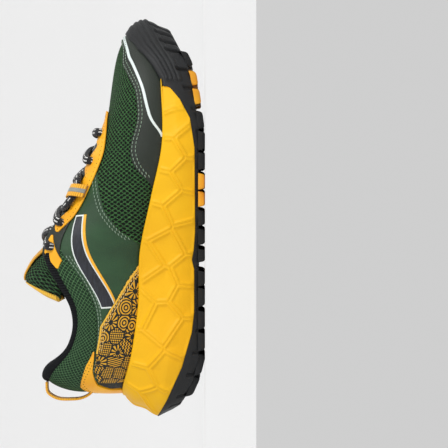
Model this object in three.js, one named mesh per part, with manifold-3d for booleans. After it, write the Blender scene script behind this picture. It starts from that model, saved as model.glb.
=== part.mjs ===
import * as THREE from "three";
import { mergeVertices } from "three/addons/utils/BufferGeometryUtils.js";
import Module from "manifold-3d";

const wasm = await Module();
wasm.setup();

// Right running shoe, in millimetres: +X towards the toe, +Y towards the inner side, +Z up.
// The origin is on the ground, below the middle of the shoe.

// Overall sizes
const shoeLength = 300;
const shoeWidth = 117.5;
const shoeHeight = 139;

// Upper: layers are counted from the outer face of the overlays, along the surface's normal
const gap = 0.32; // between pieces that touch
const layerGap = 0.55; // between curved layers of the upper
const stiffenerGap = 0.75; // between a stiffener and the mesh over it
const meshThickness = 1;
const overlayThickness = 0.9;
const trimThickness = 0.9;
const stiffenerThickness = 1.1;
const collarFoam = 8.5; // thickest place of the padded collar
const pipingWidth = 2.2;
const eyeletRadius = 2.7;
const laceRadius = 1.4;
const loopWidth = 17; // heel pull loop webbing
const loopThickness = 1.8;
const loopReach = 9.5; // how far the loop stands out behind the heel
const webbingWidth = 17.5; // strip down the middle of the tongue
const webbingThickness = 1.2;

// Sole
const lugDepth = 4.4;
const plateThickness = 2.2;
const rimLedge = 2.9; // midsole rim outside the upper
const edgeBevel = 4; // how far the tread's edge is drawn in under the widest line
const foamGap = 1.9; // between the foam and the curved rubber under it
const boardThickness = 1.2;
const boardGap = 2.1; // under each sheet that lies in the dished footbed
const sockThickness = 3.6;
const podThickness = 1.1;
const podSink = 0.9; // how far a pod's slab lies below the plate, whose underside is curved

// Tongue
const tongueThickness = 6;
const tongueTopThickness = 9;
const tongueSplit = 0.745; // share of the tongue's length where it bends
const tongueClearance = 5.5; // open between the two halves, so that the top can tilt
const bindingHeight = 5;

// The drawing below was made at this size: everything on it is carried to the overall sizes.
const drawn = { length: 300, width: 117.5, height: 139 };
const carry = (x, y, z) =>
  new THREE.Vector3(
    (x / drawn.length - 0.5) * shoeLength,
    (y / drawn.width) * shoeWidth,
    (z / drawn.height) * shoeHeight,
  );

// Ribs of the last, round the shoe: heel, eight on the outer side, toe, eight on the inner side.
// Each is a Bezier curve from the feather edge up to the topline or throat: x from the heel, y, z.
const heelRib = [[18, 3, 61], [16.5, 3, 82], [19, 3, 108], [29, 3, 124]];
const outerRibs = [
  [[25, -17, 60.5], [21, -20, 80], [27, -19, 105], [37, -14, 120]],
  [[48, -33.5, 54], [47, -42, 72], [52, -38, 92], [56, -27, 103]],
  [[85, -38, 48.7], [85, -49, 66], [83, -46, 88], [82, -36, 100.5]],
  [[125, -40, 47.3], [125, -50, 72], [124, -47, 102], [124, -33, 120]],
  [[165, -47, 39], [165, -55, 62], [162, -44, 90], [160, -24, 103]],
  [[205, -52, 30.8], [205, -58, 50], [201, -44, 76], [196, -20, 86]],
  [[245, -45, 31.5], [249, -51, 52], [237, -36, 70], [219, -14, 76.5]],
  [[275, -24, 34], [282, -28, 58], [262, -20, 69], [223, -3, 75.5]],
];
const toeRib = [[290, 5, 38], [302, 5, 70], [270, 5.5, 69], [224, 6, 75.5]];
const innerRibs = [
  [[25, 23, 60.5], [21, 26, 80], [27, 25, 105], [37, 20, 120]],
  [[48, 40, 54], [47, 49, 72], [52, 44, 92], [56, 33, 103]],
  [[85, 44, 48.7], [85, 57, 66], [83, 53, 88], [82, 42, 100.5]],
  [[125, 45, 47.3], [125, 58, 72], [124, 53, 102], [124, 38, 120]],
  [[165, 47, 39], [165, 58, 62], [162, 53, 90], [160, 32, 103]],
  [[208, 54, 30.8], [208, 60, 50], [202, 52, 77], [196, 32, 86]],
  [[250, 50, 31.5], [254, 56, 52], [240, 45, 71], [219, 27, 76.5]],
  [[279, 33, 34], [286, 37, 58], [264, 28, 69], [223, 16, 75.5]],
];
const ribs = [heelRib, ...outerRibs, toeRib, ...innerRibs.toReversed()];

// Widest line of the sole in plan, at the same stations
const heelWidest = [0, 3];
const outerWidest = [
  [9, -27], [44, -46.5], [85, -46], [125, -46.5], [165, -53.5], [205, -58.6], [250, -46],
  [281, -25.5],
];
const toeWidest = [300, 5];
const innerWidest = [
  [9, 31], [44, 49], [85, 48], [125, 50], [165, 50.5], [209, 58.5], [255, 54], [285, 40.5],
];
const widest = [heelWidest, ...outerWidest, toeWidest, ...innerWidest.toReversed()];

// Middle line of the sole in plan, heel to toe
const spineLine = [
  [24, 3], [32, 3], [54, 2], [85, 1], [125, 2], [165, -1], [205, 0], [238, 4], [258, 5], [268, 5],
];

// Side-view heights along the shoe, x then z
const groundLine = [
  [0, 30], [5, 21], [10, 14], [18, 9], [29, 4], [45, 0], [215, 0], [240, 3.3], [256, 6], [268, 10],
  [282, 17], [292, 22], [300, 31],
];
const rubberLine = [
  [0, 36], [13.5, 28.4], [39, 17], [65, 9.6], [80, 7.9], [114, 7.9], [140, 7.2], [202, 7.6],
  [224, 11], [241.5, 20], [253.5, 31],
];
const footLine = [[20, 38], [80, 37.5], [110, 36], [150, 31], [190, 26.5], [220, 25], [250, 27], [290, 32]];
const widestLine = [[0, 35], [25, 30], [60, 24], [200, 19], [240, 22], [270, 36], [300, 45]];

// A round profile takes this many samples between two stations.
const stationSteps = 3;
const stations = ribs.length;
const toeStation = stations / 2;

// ---- shared maths ----

// Catmull-Rom curve through values that repeat round the shoe
function around(values, u) {
  const n = values.length;
  const i = Math.floor(u);
  const t = u - i;
  const at = (k) => values[(((i + k) % n) + n) % n];
  const blend = [-t + 2 * t * t - t ** 3, 2 - 5 * t * t + 3 * t ** 3, t + 4 * t * t - 3 * t ** 3, t ** 3 - t * t];
  return at(0).map((_, axis) => [-1, 0, 1, 2].reduce((sum, k, j) => sum + 0.5 * blend[j] * at(k)[axis], 0));
}

// Straight lines between points of a list of [place, value]
function along(list, place) {
  if (place <= list[0][0]) return list[0][1];
  for (let i = 1; i < list.length; i++) {
    const [x0, v0] = list[i - 1];
    const [x1, v1] = list[i];
    if (place <= x1) return v0 + ((v1 - v0) * (place - x0)) / (x1 - x0);
  }
  return list.at(-1)[1];
}

// Height line as a function of the carried x
const heightAt = (line, x) => (along(line, (x / shoeLength + 0.5) * drawn.length) / drawn.height) * shoeHeight;

// Point of the upper's outer face: u in stations round the shoe, h from feather edge (0) to top (1)
function skin(u, h) {
  const weights = [(1 - h) ** 3, 3 * h * (1 - h) ** 2, 3 * h * h * (1 - h), h ** 3];
  const point = [0, 0, 0];
  weights.forEach((weight, k) => {
    const control = around(ribs.map((rib) => rib[k]), u);
    for (let axis = 0; axis < 3; axis++) point[axis] += weight * control[axis];
  });
  return carry(...point);
}

// The same face moved along its outward normal
function layer(u, h, offset) {
  const step = 0.02;
  const alongShoe = skin(u + step, h).sub(skin(u - step, h));
  const upwards = skin(u, h + step).sub(skin(u, h - step));
  return skin(u, h).addScaledVector(alongShoe.cross(upwards).normalize(), offset);
}

// ---- solids ----

function meshOf(positions, triangles) {
  const geometry = new THREE.BufferGeometry();
  geometry.setAttribute("position", new THREE.Float32BufferAttribute(positions.flatMap((p) => [p.x, p.y, p.z]), 3));
  geometry.setIndex(triangles);
  return geometry;
}

// Closed solid between two grids of points, front(i, k) and back(i, k), i to m and k to n
function sandwich(m, n, front, back) {
  const positions = [];
  for (const face of [front, back])
    for (let i = 0; i <= m; i++) for (let k = 0; k <= n; k++) positions.push(face(i, k));
  const half = (m + 1) * (n + 1);
  const at = (i, k) => i * (n + 1) + k;
  const triangles = [];
  const quad = (a, b, c, d) => triangles.push(a, b, c, a, c, d);
  for (let i = 0; i < m; i++)
    for (let k = 0; k < n; k++) {
      quad(at(i, k), at(i + 1, k), at(i + 1, k + 1), at(i, k + 1));
      quad(half + at(i, k + 1), half + at(i + 1, k + 1), half + at(i + 1, k), half + at(i, k));
    }
  for (let i = 0; i < m; i++) {
    quad(half + at(i, 0), half + at(i + 1, 0), at(i + 1, 0), at(i, 0));
    quad(at(i, n), at(i + 1, n), half + at(i + 1, n), half + at(i, n));
  }
  for (let k = 0; k < n; k++) {
    quad(at(0, k), at(0, k + 1), half + at(0, k + 1), half + at(0, k));
    quad(half + at(m, k), half + at(m, k + 1), at(m, k + 1), at(m, k));
  }
  return meshOf(positions, triangles);
}

// Panel of the upper from station a to b, between two edge lines of [station, h], inner to outer offset
function panel(a, b, low, high, inner, outer, rows = 3, perStation = stationSteps) {
  const m = Math.max(2, Math.round((b - a) * perStation));
  const place = (offset) => (i, k) => {
    const u = a + ((b - a) * i) / m;
    const h = along(low, u) + ((along(high, u) - along(low, u)) * k) / rows;
    return layer(u, h, offset);
  };
  return sandwich(m, rows, place(outer), place(inner));
}

// An edge line of the outer side, turned over to the inner side
const mirrored = (line) => line.map(([u, h]) => [stations - u, h]).toReversed();

// Solid whose section is the same list of levels all the way round: level(u) gives each point.
// The first and last levels lie on the middle line, where the two sides meet.
function ringSolid(levels) {
  const count = stations * stationSteps;
  const positions = levels.flatMap((level) =>
    Array.from({ length: count }, (_, j) => level(j / stationSteps)),
  );
  const triangles = [];
  for (let k = 0; k + 1 < levels.length; k++)
    for (let j = 0; j < count; j++) {
      const a = k * count + j;
      const b = k * count + ((j + 1) % count);
      triangles.push(a, b + count, b, a, a + count, b + count);
    }
  return meshOf(positions, triangles);
}


// Merges shared points and leaves out triangles that have closed up
function welded(geometry) {
  const bare = new THREE.BufferGeometry();
  bare.setAttribute("position", geometry.getAttribute("position"));
  if (geometry.index) bare.setIndex(geometry.index);
  const merged = mergeVertices(bare, 1e-3);
  const kept = [];
  const index = merged.index.array;
  for (let i = 0; i < index.length; i += 3) {
    const [a, b, c] = index.slice(i, i + 3);
    if (a !== b && b !== c && a !== c) kept.push(a, b, c);
  }
  merged.setIndex(kept);
  return merged;
}

function solid(geometry) {
  const ready = welded(geometry);
  return new wasm.Manifold(
    new wasm.Mesh({
      numProp: 3,
      vertProperties: ready.getAttribute("position").array,
      triVerts: new Uint32Array(ready.index.array),
    }),
  );
}

function geometryOf(manifold) {
  const made = manifold.getMesh();
  const geometry = new THREE.BufferGeometry();
  geometry.setAttribute("position", new THREE.BufferAttribute(new Float32Array(made.vertProperties), 3));
  geometry.setIndex(new THREE.BufferAttribute(new Uint32Array(made.triVerts), 1));
  return geometry;
}

// ---- sole ----

const spine = (u, z) => {
  const n = spineLine.length - 1;
  const side = Math.min(u, stations - u);
  const ring = [...spineLine, ...spineLine.slice(1, n).toReversed()];
  const [x, y] = around(ring, side);
  const point = carry(x, y, 0);
  point.z = z(point.x);
  return point;
};

const ground = (x) => heightAt(groundLine, x);
const plateBottom = (x) => ground(x) + lugDepth;
const plateTop = (x) => plateBottom(x) + plateThickness;
const footbed = (x) => heightAt(footLine, x);

const widestPoint = (u) => {
  const [x, y] = around(widest, u);
  return carry(x, y, 0);
};

// Level direction from a point of the widest line to the middle of the shoe
const inwards = (u) => spine(u, () => 0).sub(widestPoint(u)).setZ(0).normalize();

// Rim of the midsole: just outside the foot of the upper
const rimPoint = (u) => {
  const foot = skin(u, 0);
  const point = foot.clone().addScaledVector(inwards(u), -rimLedge);
  point.z = foot.z - gap - 0.9;
  return point;
};

// Toe bumper: how far up the upper the rubber reaches, as [station, h]
const outerBumper = [[6.9, 0], [7.15, 0.01], [7.5, 0.1], [8, 0.24], [8.5, 0.28], [9, 0.28]];
const bumper = [...outerBumper, ...mirrored(outerBumper).slice(1)];
const bumperStart = 6.95;
const onBumper = (u) => u > bumperStart && u < stations - bumperStart;

// Side wall of the sole at a height: drawn in below and above the widest line
function wall(u, z, topPoint) {
  const outer = widestPoint(u);
  const middle = heightAt(widestLine, outer.x);
  const bottom = plateBottom(outer.x);
  if (z <= middle) {
    const share = (middle - z) / Math.max(1, middle - bottom);
    return outer.addScaledVector(inwards(u), edgeBevel * Math.min(1, share) ** 2).setZ(z);
  }
  const roundness = onBumper(u) ? 2.2 : 1.35;
  const share = ((z - middle) / Math.max(1, topPoint.z - middle)) ** roundness;
  return outer.lerp(topPoint.clone().setZ(0), Math.min(1, share)).setZ(z);
}

const bumperTop = (u, offset) => layer(u, along(bumper, u), offset);
const rubberTop = (u) => {
  const height = heightAt(rubberLine, widestPoint(u).x);
  const rim = rimPoint(u);
  return onBumper(u) ? bumperTop(u, 1.1) : wall(u, Math.min(height, rim.z - 2), rim);
};

// Where the foam meets the rubber inside the tread's edge
const seat = (u, inset, rise) => {
  const edge = onBumper(u)
    ? rimPoint(u).addScaledVector(inwards(u), edgeBevel - 0.5 + inset)
    : rubberTop(u).addScaledVector(inwards(u), 3 + inset);
  return edge.setZ(Math.max(plateTop(edge.x), plateTop(widestPoint(u).x) - 6) + rise);
};

function outsoleBase() {
  const lip = (u) => {
    const top = rubberTop(u);
    if (onBumper(u)) return bumperTop(u, 0.1 + gap + 0.1);
    return top.lerp(seat(u, 0, 0), 0.5);
  };
  const outer = (share) => (u) => {
    const top = rubberTop(u);
    const low = plateBottom(widestPoint(u).x) + 1;
    return wall(u, low + (top.z - low) * share, top);
  };
  const shelf = (u) => {
    if (!onBumper(u)) return rubberTop(u).lerp(seat(u, 0, 0), 0.95);
    const foot = rimPoint(u).addScaledVector(inwards(u), -gap);
    return foot.setZ(Math.min(foot.z + 0.6, skin(u, 0).z - 0.4));
  };
  return ringSolid([
    (u) => spine(u, plateTop),
    (u) => seat(u, 0, 0),
    shelf,
    lip,
    rubberTop,
    outer(0.66),
    outer(0.33),
    outer(0),
    (u) => {
      const edge = widestPoint(u).addScaledVector(inwards(u), edgeBevel + 4);
      return edge.setZ(plateBottom(edge.x));
    },
    (u) => spine(u, plateBottom),
  ]);
}

// Where the tread's plan line crosses a given x, on one side
function treadEdge(x, outerSide) {
  const steps = 200;
  for (let i = 0; i < steps; i++) {
    const at = (k) => (outerSide ? (toeStation * k) / steps : stations - (toeStation * k) / steps);
    const here = widestPoint(at(i));
    const next = widestPoint(at(i + 1));
    if (here.x <= x && next.x > x) return here.lerp(next, (x - here.x) / (next.x - here.x)).y;
  }
  return 0;
}

// Block whose plan is four corners and whose faces follow two height functions
function block(corners, low, high) {
  const points = [low, high].flatMap((height) => corners.map(([x, y]) => new THREE.Vector3(x, y, height(x))));
  const sides = [0, 1, 2, 3].flatMap((i) => {
    const j = (i + 1) % 4;
    return [i, j, j + 4, i, j + 4, i + 4];
  });
  return meshOf(points, [0, 2, 1, 0, 3, 2, 4, 5, 6, 4, 6, 7, ...sides]);
}

// Rows of lugs, from x and row depth: most lie over the black plate, two groups are the yellow pods
const lugRows = [
  [24, 13], [41, 13], [58, 12], [74, 11], [91, 9], [106, 9], [121, 9], [136, 10],
  [164, 10], [177, 10], [192, 11], [207, 12], [222, 11], [240, 11], [254, 10], [269, 10],
];
const podRows = { midfoot: [164, 177], forefoot: [240, 254] };
const lugInset = 5;
const lugsAcross = 4;
const lugSpace = 5;
const lugLean = 3; // chevron: the middle of a row lies this far ahead of its ends

function lugsOfRow([drawnX, drawnDepth], top) {
  const x = (drawnX / drawn.length - 0.5) * shoeLength;
  const depth = (drawnDepth / drawn.length) * shoeLength;
  const from = Math.max(treadEdge(x - depth / 2, true), treadEdge(x + depth / 2, true)) + lugInset;
  const to = Math.min(treadEdge(x - depth / 2, false), treadEdge(x + depth / 2, false)) - lugInset;
  const wide = (to - from - lugSpace * (lugsAcross - 1)) / lugsAcross;
  return Array.from({ length: lugsAcross }, (_, i) => {
    const y0 = from + i * (wide + lugSpace);
    const y1 = y0 + wide;
    const lean = (y) => lugLean * (1 - Math.abs((2 * (y - from)) / (to - from) - 1));
    const corner = (y, side) => [x + (side * depth) / 2 + lean(y), y];
    return block([corner(y0, -1), corner(y0, 1), corner(y1, 1), corner(y1, -1)], ground, top);
  });
}

const isPodRow = ([x]) => Object.values(podRows).flat().includes(x);

function outsole() {
  const mudguardSpace = panel(6.5, stations - 6.5, level(0), level(0.6), overlayInner - 2, overlayOuter + gap, 8, 4);
  let made = solid(outsoleBase()).subtract(solid(mudguardSpace));
  for (const row of lugRows.filter((row) => !isPodRow(row)))
    for (const lug of lugsOfRow(row, (x) => plateBottom(x) + 0.6)) made = made.add(facingOut(lug));
  return geometryOf(made);
}

// A block may be listed clockwise: it is turned so that its faces point out.
function facingOut(geometry) {
  const made = solid(geometry);
  if (made.volume() > 0) return made;
  const index = geometry.index.array;
  for (let i = 0; i < index.length; i += 3) [index[i + 1], index[i + 2]] = [index[i + 2], index[i + 1]];
  return solid(geometry);
}

// Yellow pod: two rows of lugs on a thin slab against the underside of the plate
function outsolePod([firstX, lastX]) {
  const depth = 12;
  const slabTop = (x) => plateBottom(x) - gap - podSink;
  const slabLow = (x) => slabTop(x) - podThickness;
  const xs = [firstX - depth / 2, lastX + depth / 2].map((x) => (x / drawn.length - 0.5) * shoeLength);
  const corners = [
    [xs[0], treadEdge(xs[0], true) + lugInset + 2],
    [xs[1], treadEdge(xs[1], true) + lugInset + 2],
    [xs[1], treadEdge(xs[1], false) - lugInset - 2],
    [xs[0], treadEdge(xs[0], false) - lugInset - 2],
  ];
  let made = facingOut(block(corners, slabLow, slabTop));
  for (const row of lugRows.filter(([x]) => x === firstX || x === lastX))
    for (const lug of lugsOfRow(row, (x) => slabLow(x) + 0.5)) made = made.add(facingOut(lug));
  return geometryOf(made);
}

// Dish of the footbed: ring at a share of the way from the middle line to the foot of the upper
const dish = (share, rise) => (u) => {
  const foot = skin(u, 0).addScaledVector(inwards(u), 3.2);
  const middle = spine(u, footbed);
  const point = middle.clone().lerp(foot, share);
  const bowl = share ** 4;
  point.z = THREE.MathUtils.lerp(footbed(point.x), foot.z - 2.2, bowl) + rise;
  return point;
};

function midsole() {
  const reach = bumperStart - 1.1 / stationSteps;
  const covered = (u) => u > reach && u < stations - reach;
  const inside = (u) => rimPoint(u).addScaledVector(inwards(u), gap);
  const shoulder = (u) =>
    covered(u)
      ? inside(u).addScaledVector(inwards(u), edgeBevel + 0.5).setZ(seat(u, 0, foamGap).z + 1)
      : rubberTop(u).add(new THREE.Vector3(0, 0, 1.5 * gap));
  const outer = (share) => (u) => {
    const low = shoulder(u);
    const top = rimPoint(u);
    const z = low.z + (top.z - low.z) * share;
    return covered(u) ? low.clone().lerp(inside(u), share) : wall(u, z, top);
  };
  return ringSolid([
    (u) => spine(u, footbed),
    dish(0.6, 0),
    dish(0.85, 0),
    dish(1, 0),
    outer(1),
    outer(0.75),
    outer(0.5),
    outer(0.25),
    shoulder,
    (u) => seat(u, 1.6, foamGap),
    (u) => spine(u, (x) => plateTop(x) + foamGap),
  ]);
}

// Sheet lying in the footbed dish, from one rise to another, out to a share of its width
const dishEdge = (reach, rise) => (u) => dish(0.85, rise)(u).lerp(dish(1, rise)(u), reach);
const dishSheet = (low, high, reach) =>
  ringSolid([
    (u) => spine(u, (x) => footbed(x) + high),
    dish(0.6, high),
    dish(0.85, high),
    dishEdge(reach, high),
    dishEdge(reach, low),
    dish(0.85, low),
    dish(0.6, low),
    (u) => spine(u, (x) => footbed(x) + low),
  ]);

const lastingBoard = () => dishSheet(boardGap, boardGap + boardThickness, 0.92);
const sockliner = () => {
  const low = 2 * boardGap + boardThickness;
  return dishSheet(low, low + sockThickness, 0.6);
};

// ---- layers of the upper ----

const overlayOuter = 0;
const overlayInner = overlayOuter - overlayThickness;
const meshOuter = overlayInner - layerGap;
const meshInner = meshOuter - meshThickness;
const trimInner = overlayOuter + layerGap;
const trimOuter = trimInner + trimThickness;
const patchInner = trimOuter + layerGap;
const patchOuter = patchInner + trimThickness;
const stiffenerOuter = meshInner - stiffenerGap;
const stiffenerInner = stiffenerOuter - stiffenerThickness;
const seam = 0.024; // open share of a rib between two base panels

// Edge lines of the outer side: [station, h]
const vampTop = [[4.12, 0.03], [4.35, 0.25], [4.8, 0.5], [5.3, 0.68], [5.65, 0.8], [6.2, 0.9], [6.3, 1]];
const collarLow = [[0, 0.36], [1, 0.42], [2, 0.51], [3, 0.6], [3.6, 0.66], [3.95, 0.76]];
const collarHigh = [[0, 0.93], [3, 0.93], [3.95, 0.96]];
const mudguardTop = [
  [5.2, 0.03], [5.5, 0.24], [5.75, 0.36], [6, 0.41], [6.25, 0.37], [6.5, 0.33], [7, 0.35],
  [7.5, 0.46], [8, 0.53], [8.5, 0.44], [9, 0.42],
];
const innerMudguardTop = [
  [9, 0.42], [9.5, 0.4], [10, 0.57], [10.3, 0.55], [10.6, 0.47], [11, 0.4], [11.5, 0.31],
  [12, 0.29], [12.5, 0.26], [13, 0.16], [13.3, 0.03],
];
const pipingLine = [
  [6.15, 0.03], [6.4, 0.16], [6.7, 0.21], [7, 0.24], [7.5, 0.33], [8, 0.4], [8.5, 0.38],
  [9, 0.345], [9.5, 0.325], [10, 0.33], [10.5, 0.3], [11, 0.25], [11.4, 0.2],
];
const printTop = [
  [0.8, 0.15], [1.05, 0.3], [1.5, 0.43], [2, 0.5], [2.6, 0.52], [2.93, 0.4], [3.3, 0.22],
  [3.75, 0.03],
];
const heelLow = [[0, 0.012], [0.68, 0.012], [0.78, 0.17], [1.02, 0.325], [1.5, 0.455], [2, 0.525]];
const heelHigh = [[0, 0.37], [0.4, 0.42], [1, 0.56], [1.3, 0.57], [1.6, 0.565], [2, 0.54]];
const stayLow = [
  [4.3, 0.8], [4.5, 0.77], [5, 0.75], [5.5, 0.74], [6, 0.74], [6.5, 0.8], [7, 0.87], [8, 0.935],
  [9, 0.95],
];
const underlayReach = 1.03;
const eyelets = [6.55, 5.85, 5.2, 4.6, 4.12]; // stations on the outer side, front to back
const eyeletHeight = 0.9;
const loopEyelet = 5.2;

const level = (h) => [[0, h]];
const shifted = (line, by) => line.map(([u, h]) => [u, h + by]);
const bothSides = (line) => [...line, ...mirrored(line).slice(1)];
const roundHeel = (line) => [...line.map(([u, h]) => [-u, h]).toReversed(), ...line.slice(1)];

// Round holes through a panel at its eyelets, and room for the lace where it passes
function holed(geometry, places) {
  let made = solid(geometry).subtract(solid(laceTube(laceRadius + gap, 6)));
  for (const [u, h] of places) {
    const inner = layer(u, h, -8);
    const outer = layer(u, h, 8);
    const drill = new THREE.CylinderGeometry(eyeletRadius, eyeletRadius, inner.distanceTo(outer), 10);
    const turn = new THREE.Quaternion().setFromUnitVectors(
      new THREE.Vector3(0, 1, 0),
      outer.clone().sub(inner).normalize(),
    );
    drill.applyQuaternion(turn);
    const middle = inner.add(outer).multiplyScalar(0.5);
    drill.translate(middle.x, middle.y, middle.z);
    made = made.subtract(solid(drill));
  }
  return geometryOf(made.decompose().sort((a, b) => b.volume() - a.volume())[0]);
}

const eyeletPlaces = (outerSide, from, to) =>
  eyelets.slice(from, to).filter((u) => u !== loopEyelet).map((u) => [outerSide ? u : stations - u, eyeletHeight]);
const allEyelets = [...eyeletPlaces(true, 0, 5), ...eyeletPlaces(false, 0, 5)];

function vampMesh() {
  const top = bothSides([...vampTop, [9, 1]]);
  return holed(panel(4.12, stations - 4.12, level(0), top, meshInner, meshOuter, 7, 4), allEyelets);
}

function quarter(outerSide) {
  const back = 0.02;
  const front = 6.2;
  const low = shifted([[0, 0], [4.06, 0], ...vampTop.slice(0, -1)], seam * 1.5);
  low[0][1] = 0;
  low[1][1] = 0;
  const high = [...shifted(collarLow, -seam), [4.2, 1], [6.2, 1]];
  const line = (edge) => (outerSide ? edge : mirrored(edge));
  const ends = outerSide ? [back, front] : [stations - front, stations - back];
  return holed(
    panel(...ends, line(low), line(high), meshInner, meshOuter, 5),
    eyeletPlaces(outerSide, 0, 5),
  );
}

const collarPanel = () =>
  panel(-3.95, 3.95, roundHeel(collarLow), roundHeel(collarHigh), meshInner, meshOuter, 4);

function mudguard() {
  const top = [...mudguardTop, ...innerMudguardTop.slice(1)];
  return panel(5.2, 13.3, level(0.004), top, overlayInner, overlayOuter, 5, 4);
}

function reflectivePiping() {
  const half = pipingWidth / 2 / 62; // a rib is about 62 long at the toe
  return panel(6.15, 11.4, shifted(pipingLine, -half), shifted(pipingLine, half), trimInner, trimOuter, 1, 5);
}

const printPanel = (outerSide) => {
  const line = (edge) => (outerSide ? edge : mirrored(edge));
  const ends = outerSide ? [0.8, 3.75] : [stations - 3.75, stations - 0.8];
  return panel(...ends, line([[0, 0.004]]), line(printTop), overlayInner, overlayOuter, 3, 5);
};

function printPiping(outerSide) {
  const line = (edge) => (outerSide ? edge : mirrored(edge));
  const ends = outerSide ? [2.15, 3.7] : [stations - 3.7, stations - 2.15];
  return panel(...ends, line(shifted(printTop, -0.05)), line(shifted(printTop, -0.012)), trimInner, trimOuter, 1, 6);
}

const heelOverlay = () => panel(-2, 2, roundHeel(heelLow), roundHeel(heelHigh), trimInner, trimOuter, 3, 5);

function laceStay() {
  const band = panel(4.3, stations - 4.3, bothSides(stayLow), level(0.975), trimInner, trimOuter, 2, 4);
  return holed(band, [...eyeletPlaces(true, 0, 4), ...eyeletPlaces(false, 0, 4)]);
}

function eyestayUnderlay(outerSide) {
  const ends = outerSide ? [3.98, 8.6] : [stations - 8.6, stations - 3.98];
  const low = [[3.98, 0.86], [6, 0.82], [7, 0.93], [8.6, 0.965]];
  const edge = outerSide ? low : mirrored(low);
  return holed(
    panel(...ends, edge, level(underlayReach), overlayInner, overlayOuter, 2, 3),
    eyeletPlaces(outerSide, 0, 5),
  );
}

function topEyeletPatch(outerSide) {
  const ends = outerSide ? [3.92, 4.27] : [stations - 4.27, stations - 3.92];
  const band = panel(...ends, level(0.83), level(1), trimInner, trimOuter, 3, 10);
  return holed(band, eyeletPlaces(outerSide, 4, 5));
}

// Webbing tab on the stay in place of the third eyelet: the lace runs through its tunnel
function laceLoop(outerSide) {
  const u = outerSide ? loopEyelet : stations - loopEyelet;
  const half = 0.11;
  const m = 2;
  const n = 8;
  const rise = (k) => 5.6 * Math.sin((Math.PI * k) / n);
  const face = (extra) => (i, k) =>
    layer(u - half + (2 * half * i) / m, 0.76 + 0.2 * (k / n), patchInner + rise(k) + extra);
  return sandwich(m, n, face(trimThickness), face(0));
}

// Side stripe: one straight tapered blade
function sideMark(outerSide) {
  const place = (s, across) => {
    const u = 3.05 + 1.5 * s;
    const h = 0.5 + 0.13 * s + across * (0.08 - 0.05 * s);
    return [outerSide ? u : stations - u, h];
  };
  const m = 7;
  const face = (offset) => (i, k) => layer(...place(outerSide ? i / m : 1 - i / m, k * 2 - 1), offset);
  return sandwich(m, 1, face(patchOuter - trimInner), face(trimInner));
}

const toePuff = () => panel(7.4, stations - 7.4, level(0.08), level(0.5), stiffenerInner, stiffenerOuter, 6, 4);
const heelCounter = () => panel(-2.4, 2.4, level(0.14), level(0.42), stiffenerInner, stiffenerOuter, 3);

// Padded collar: thick round the heel and thin where the tongue passes
const foamAt = [
  [-4, 1.6], [-3.4, 2.6], [-2.8, 7], [-2, collarFoam], [2, collarFoam], [2.8, 7], [3.4, 2.6],
  [4, 1.6],
];
function collarLining() {
  const top = 3.9;
  const m = 24;
  const outside = [[0.44, 0], [0.6, 0], [0.78, 0], [0.92, 0], [0.955, 1.3], [0.99, 1.2], [1.01, 0.1]];
  const inside = [[0.44, 0.16], [0.6, 0.62], [0.78, 1], [0.9, 1], [0.97, 0.86], [1.01, 0.5], [1.02, 0.25]];
  const station = (i) => -top + (2 * top * i) / m;
  const depth = (i) => along(foamAt, station(i));
  const front = (i, k) => layer(station(i), outside[k][0], stiffenerInner - gap + outside[k][1]);
  const back = (i, k) =>
    layer(station(i), inside[k][0], stiffenerInner - gap - 0.6 - depth(i) * inside[k][1]);
  return sandwich(m, outside.length - 1, front, back);
}

// Where the heel's middle line stands at a height, an offset outside the upper's outer face
function heelAt(height, offset) {
  let low = 0;
  let high = 1;
  for (let i = 0; i < 30; i++) {
    const middle = (low + high) / 2;
    if (layer(0, middle, offset).z < height) low = middle;
    else high = middle;
  }
  return layer(0, low, offset).x;
}

// Heel pull loop: an arch of webbing from below the topline to the heel overlay
function heelPullLoop() {
  const z = (height) => (height / drawn.height) * shoeHeight;
  const places = [[117, 0.5], [111, 0.82], [101, 0.98], [92, 0.82], [86, 0.39]]; // height, share of the reach
  const rows = 12;
  const inner = places.map(([height, reach]) => {
    const near = heelAt(z(height), trimOuter + gap);
    return new THREE.Vector3(near - loopReach * reach + loopThickness, 0, z(height));
  });
  const endGap = gap + 0.3;
  const ends = [
    new THREE.Vector3(heelAt(z(118.5), meshOuter + endGap), 0, z(118.5)),
    new THREE.Vector3(heelAt(z(84.5), trimOuter + endGap), 0, z(84.5)),
  ];
  const curve = new THREE.CatmullRomCurve3([ends[0], ...inner, ends[1]]);
  const half = loopWidth / 2;
  const middle = skin(0, 0.7).y;
  const face = (offset) => (i, k) => {
    const at = curve.getPoint(k / rows);
    const tangent = curve.getTangent(k / rows);
    const out = new THREE.Vector3(tangent.z, 0, -tangent.x);
    return at.addScaledVector(out, offset).setY(middle + (i ? half : -half));
  };
  return sandwich(1, rows, face(loopThickness), face(0));
}

// ---- tongue ----

// Crown of the tongue in side view, with half width and how far its sides drop
const tongueCrown = [
  [234, 69.5], [210, 75.5], [188, 85.5], [164, 97.5], [147, 107.5], [130, 118], [118, 127],
  [107, 139.5],
];
const tongueHalf = [17, 24, 29, 31, 31.5, 30.5, 29.5, 25];
const tongueDrop = [3, 4.5, 6, 7, 8.5, 11, 17, 24];
const tongueMiddle = [8, 7, 6, 6, 5.5, 5, 4.5, 4.5];

const listAt = (list, share) => {
  const place = share * (list.length - 1);
  return along(list.map((value, i) => [i, value]), place);
};

// Half width of the tongue: the opening's width less the padding either side, which keeps its own thickness
const besideTongue = collarFoam + 3;
const halfAt = (share) =>
  (listAt(tongueHalf, share) + besideTongue) * (shoeWidth / drawn.width) - besideTongue;

function crown(share) {
  const points = tongueCrown.map(([x, z]) => carry(x, 0, z));
  const curve = new THREE.CatmullRomCurve3(points);
  const at = curve.getPoint(share);
  const tangent = curve.getTangent(share);
  return { at, under: new THREE.Vector3(tangent.z, 0, -tangent.x).multiplyScalar(-Math.sign(-tangent.x)) };
}

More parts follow.
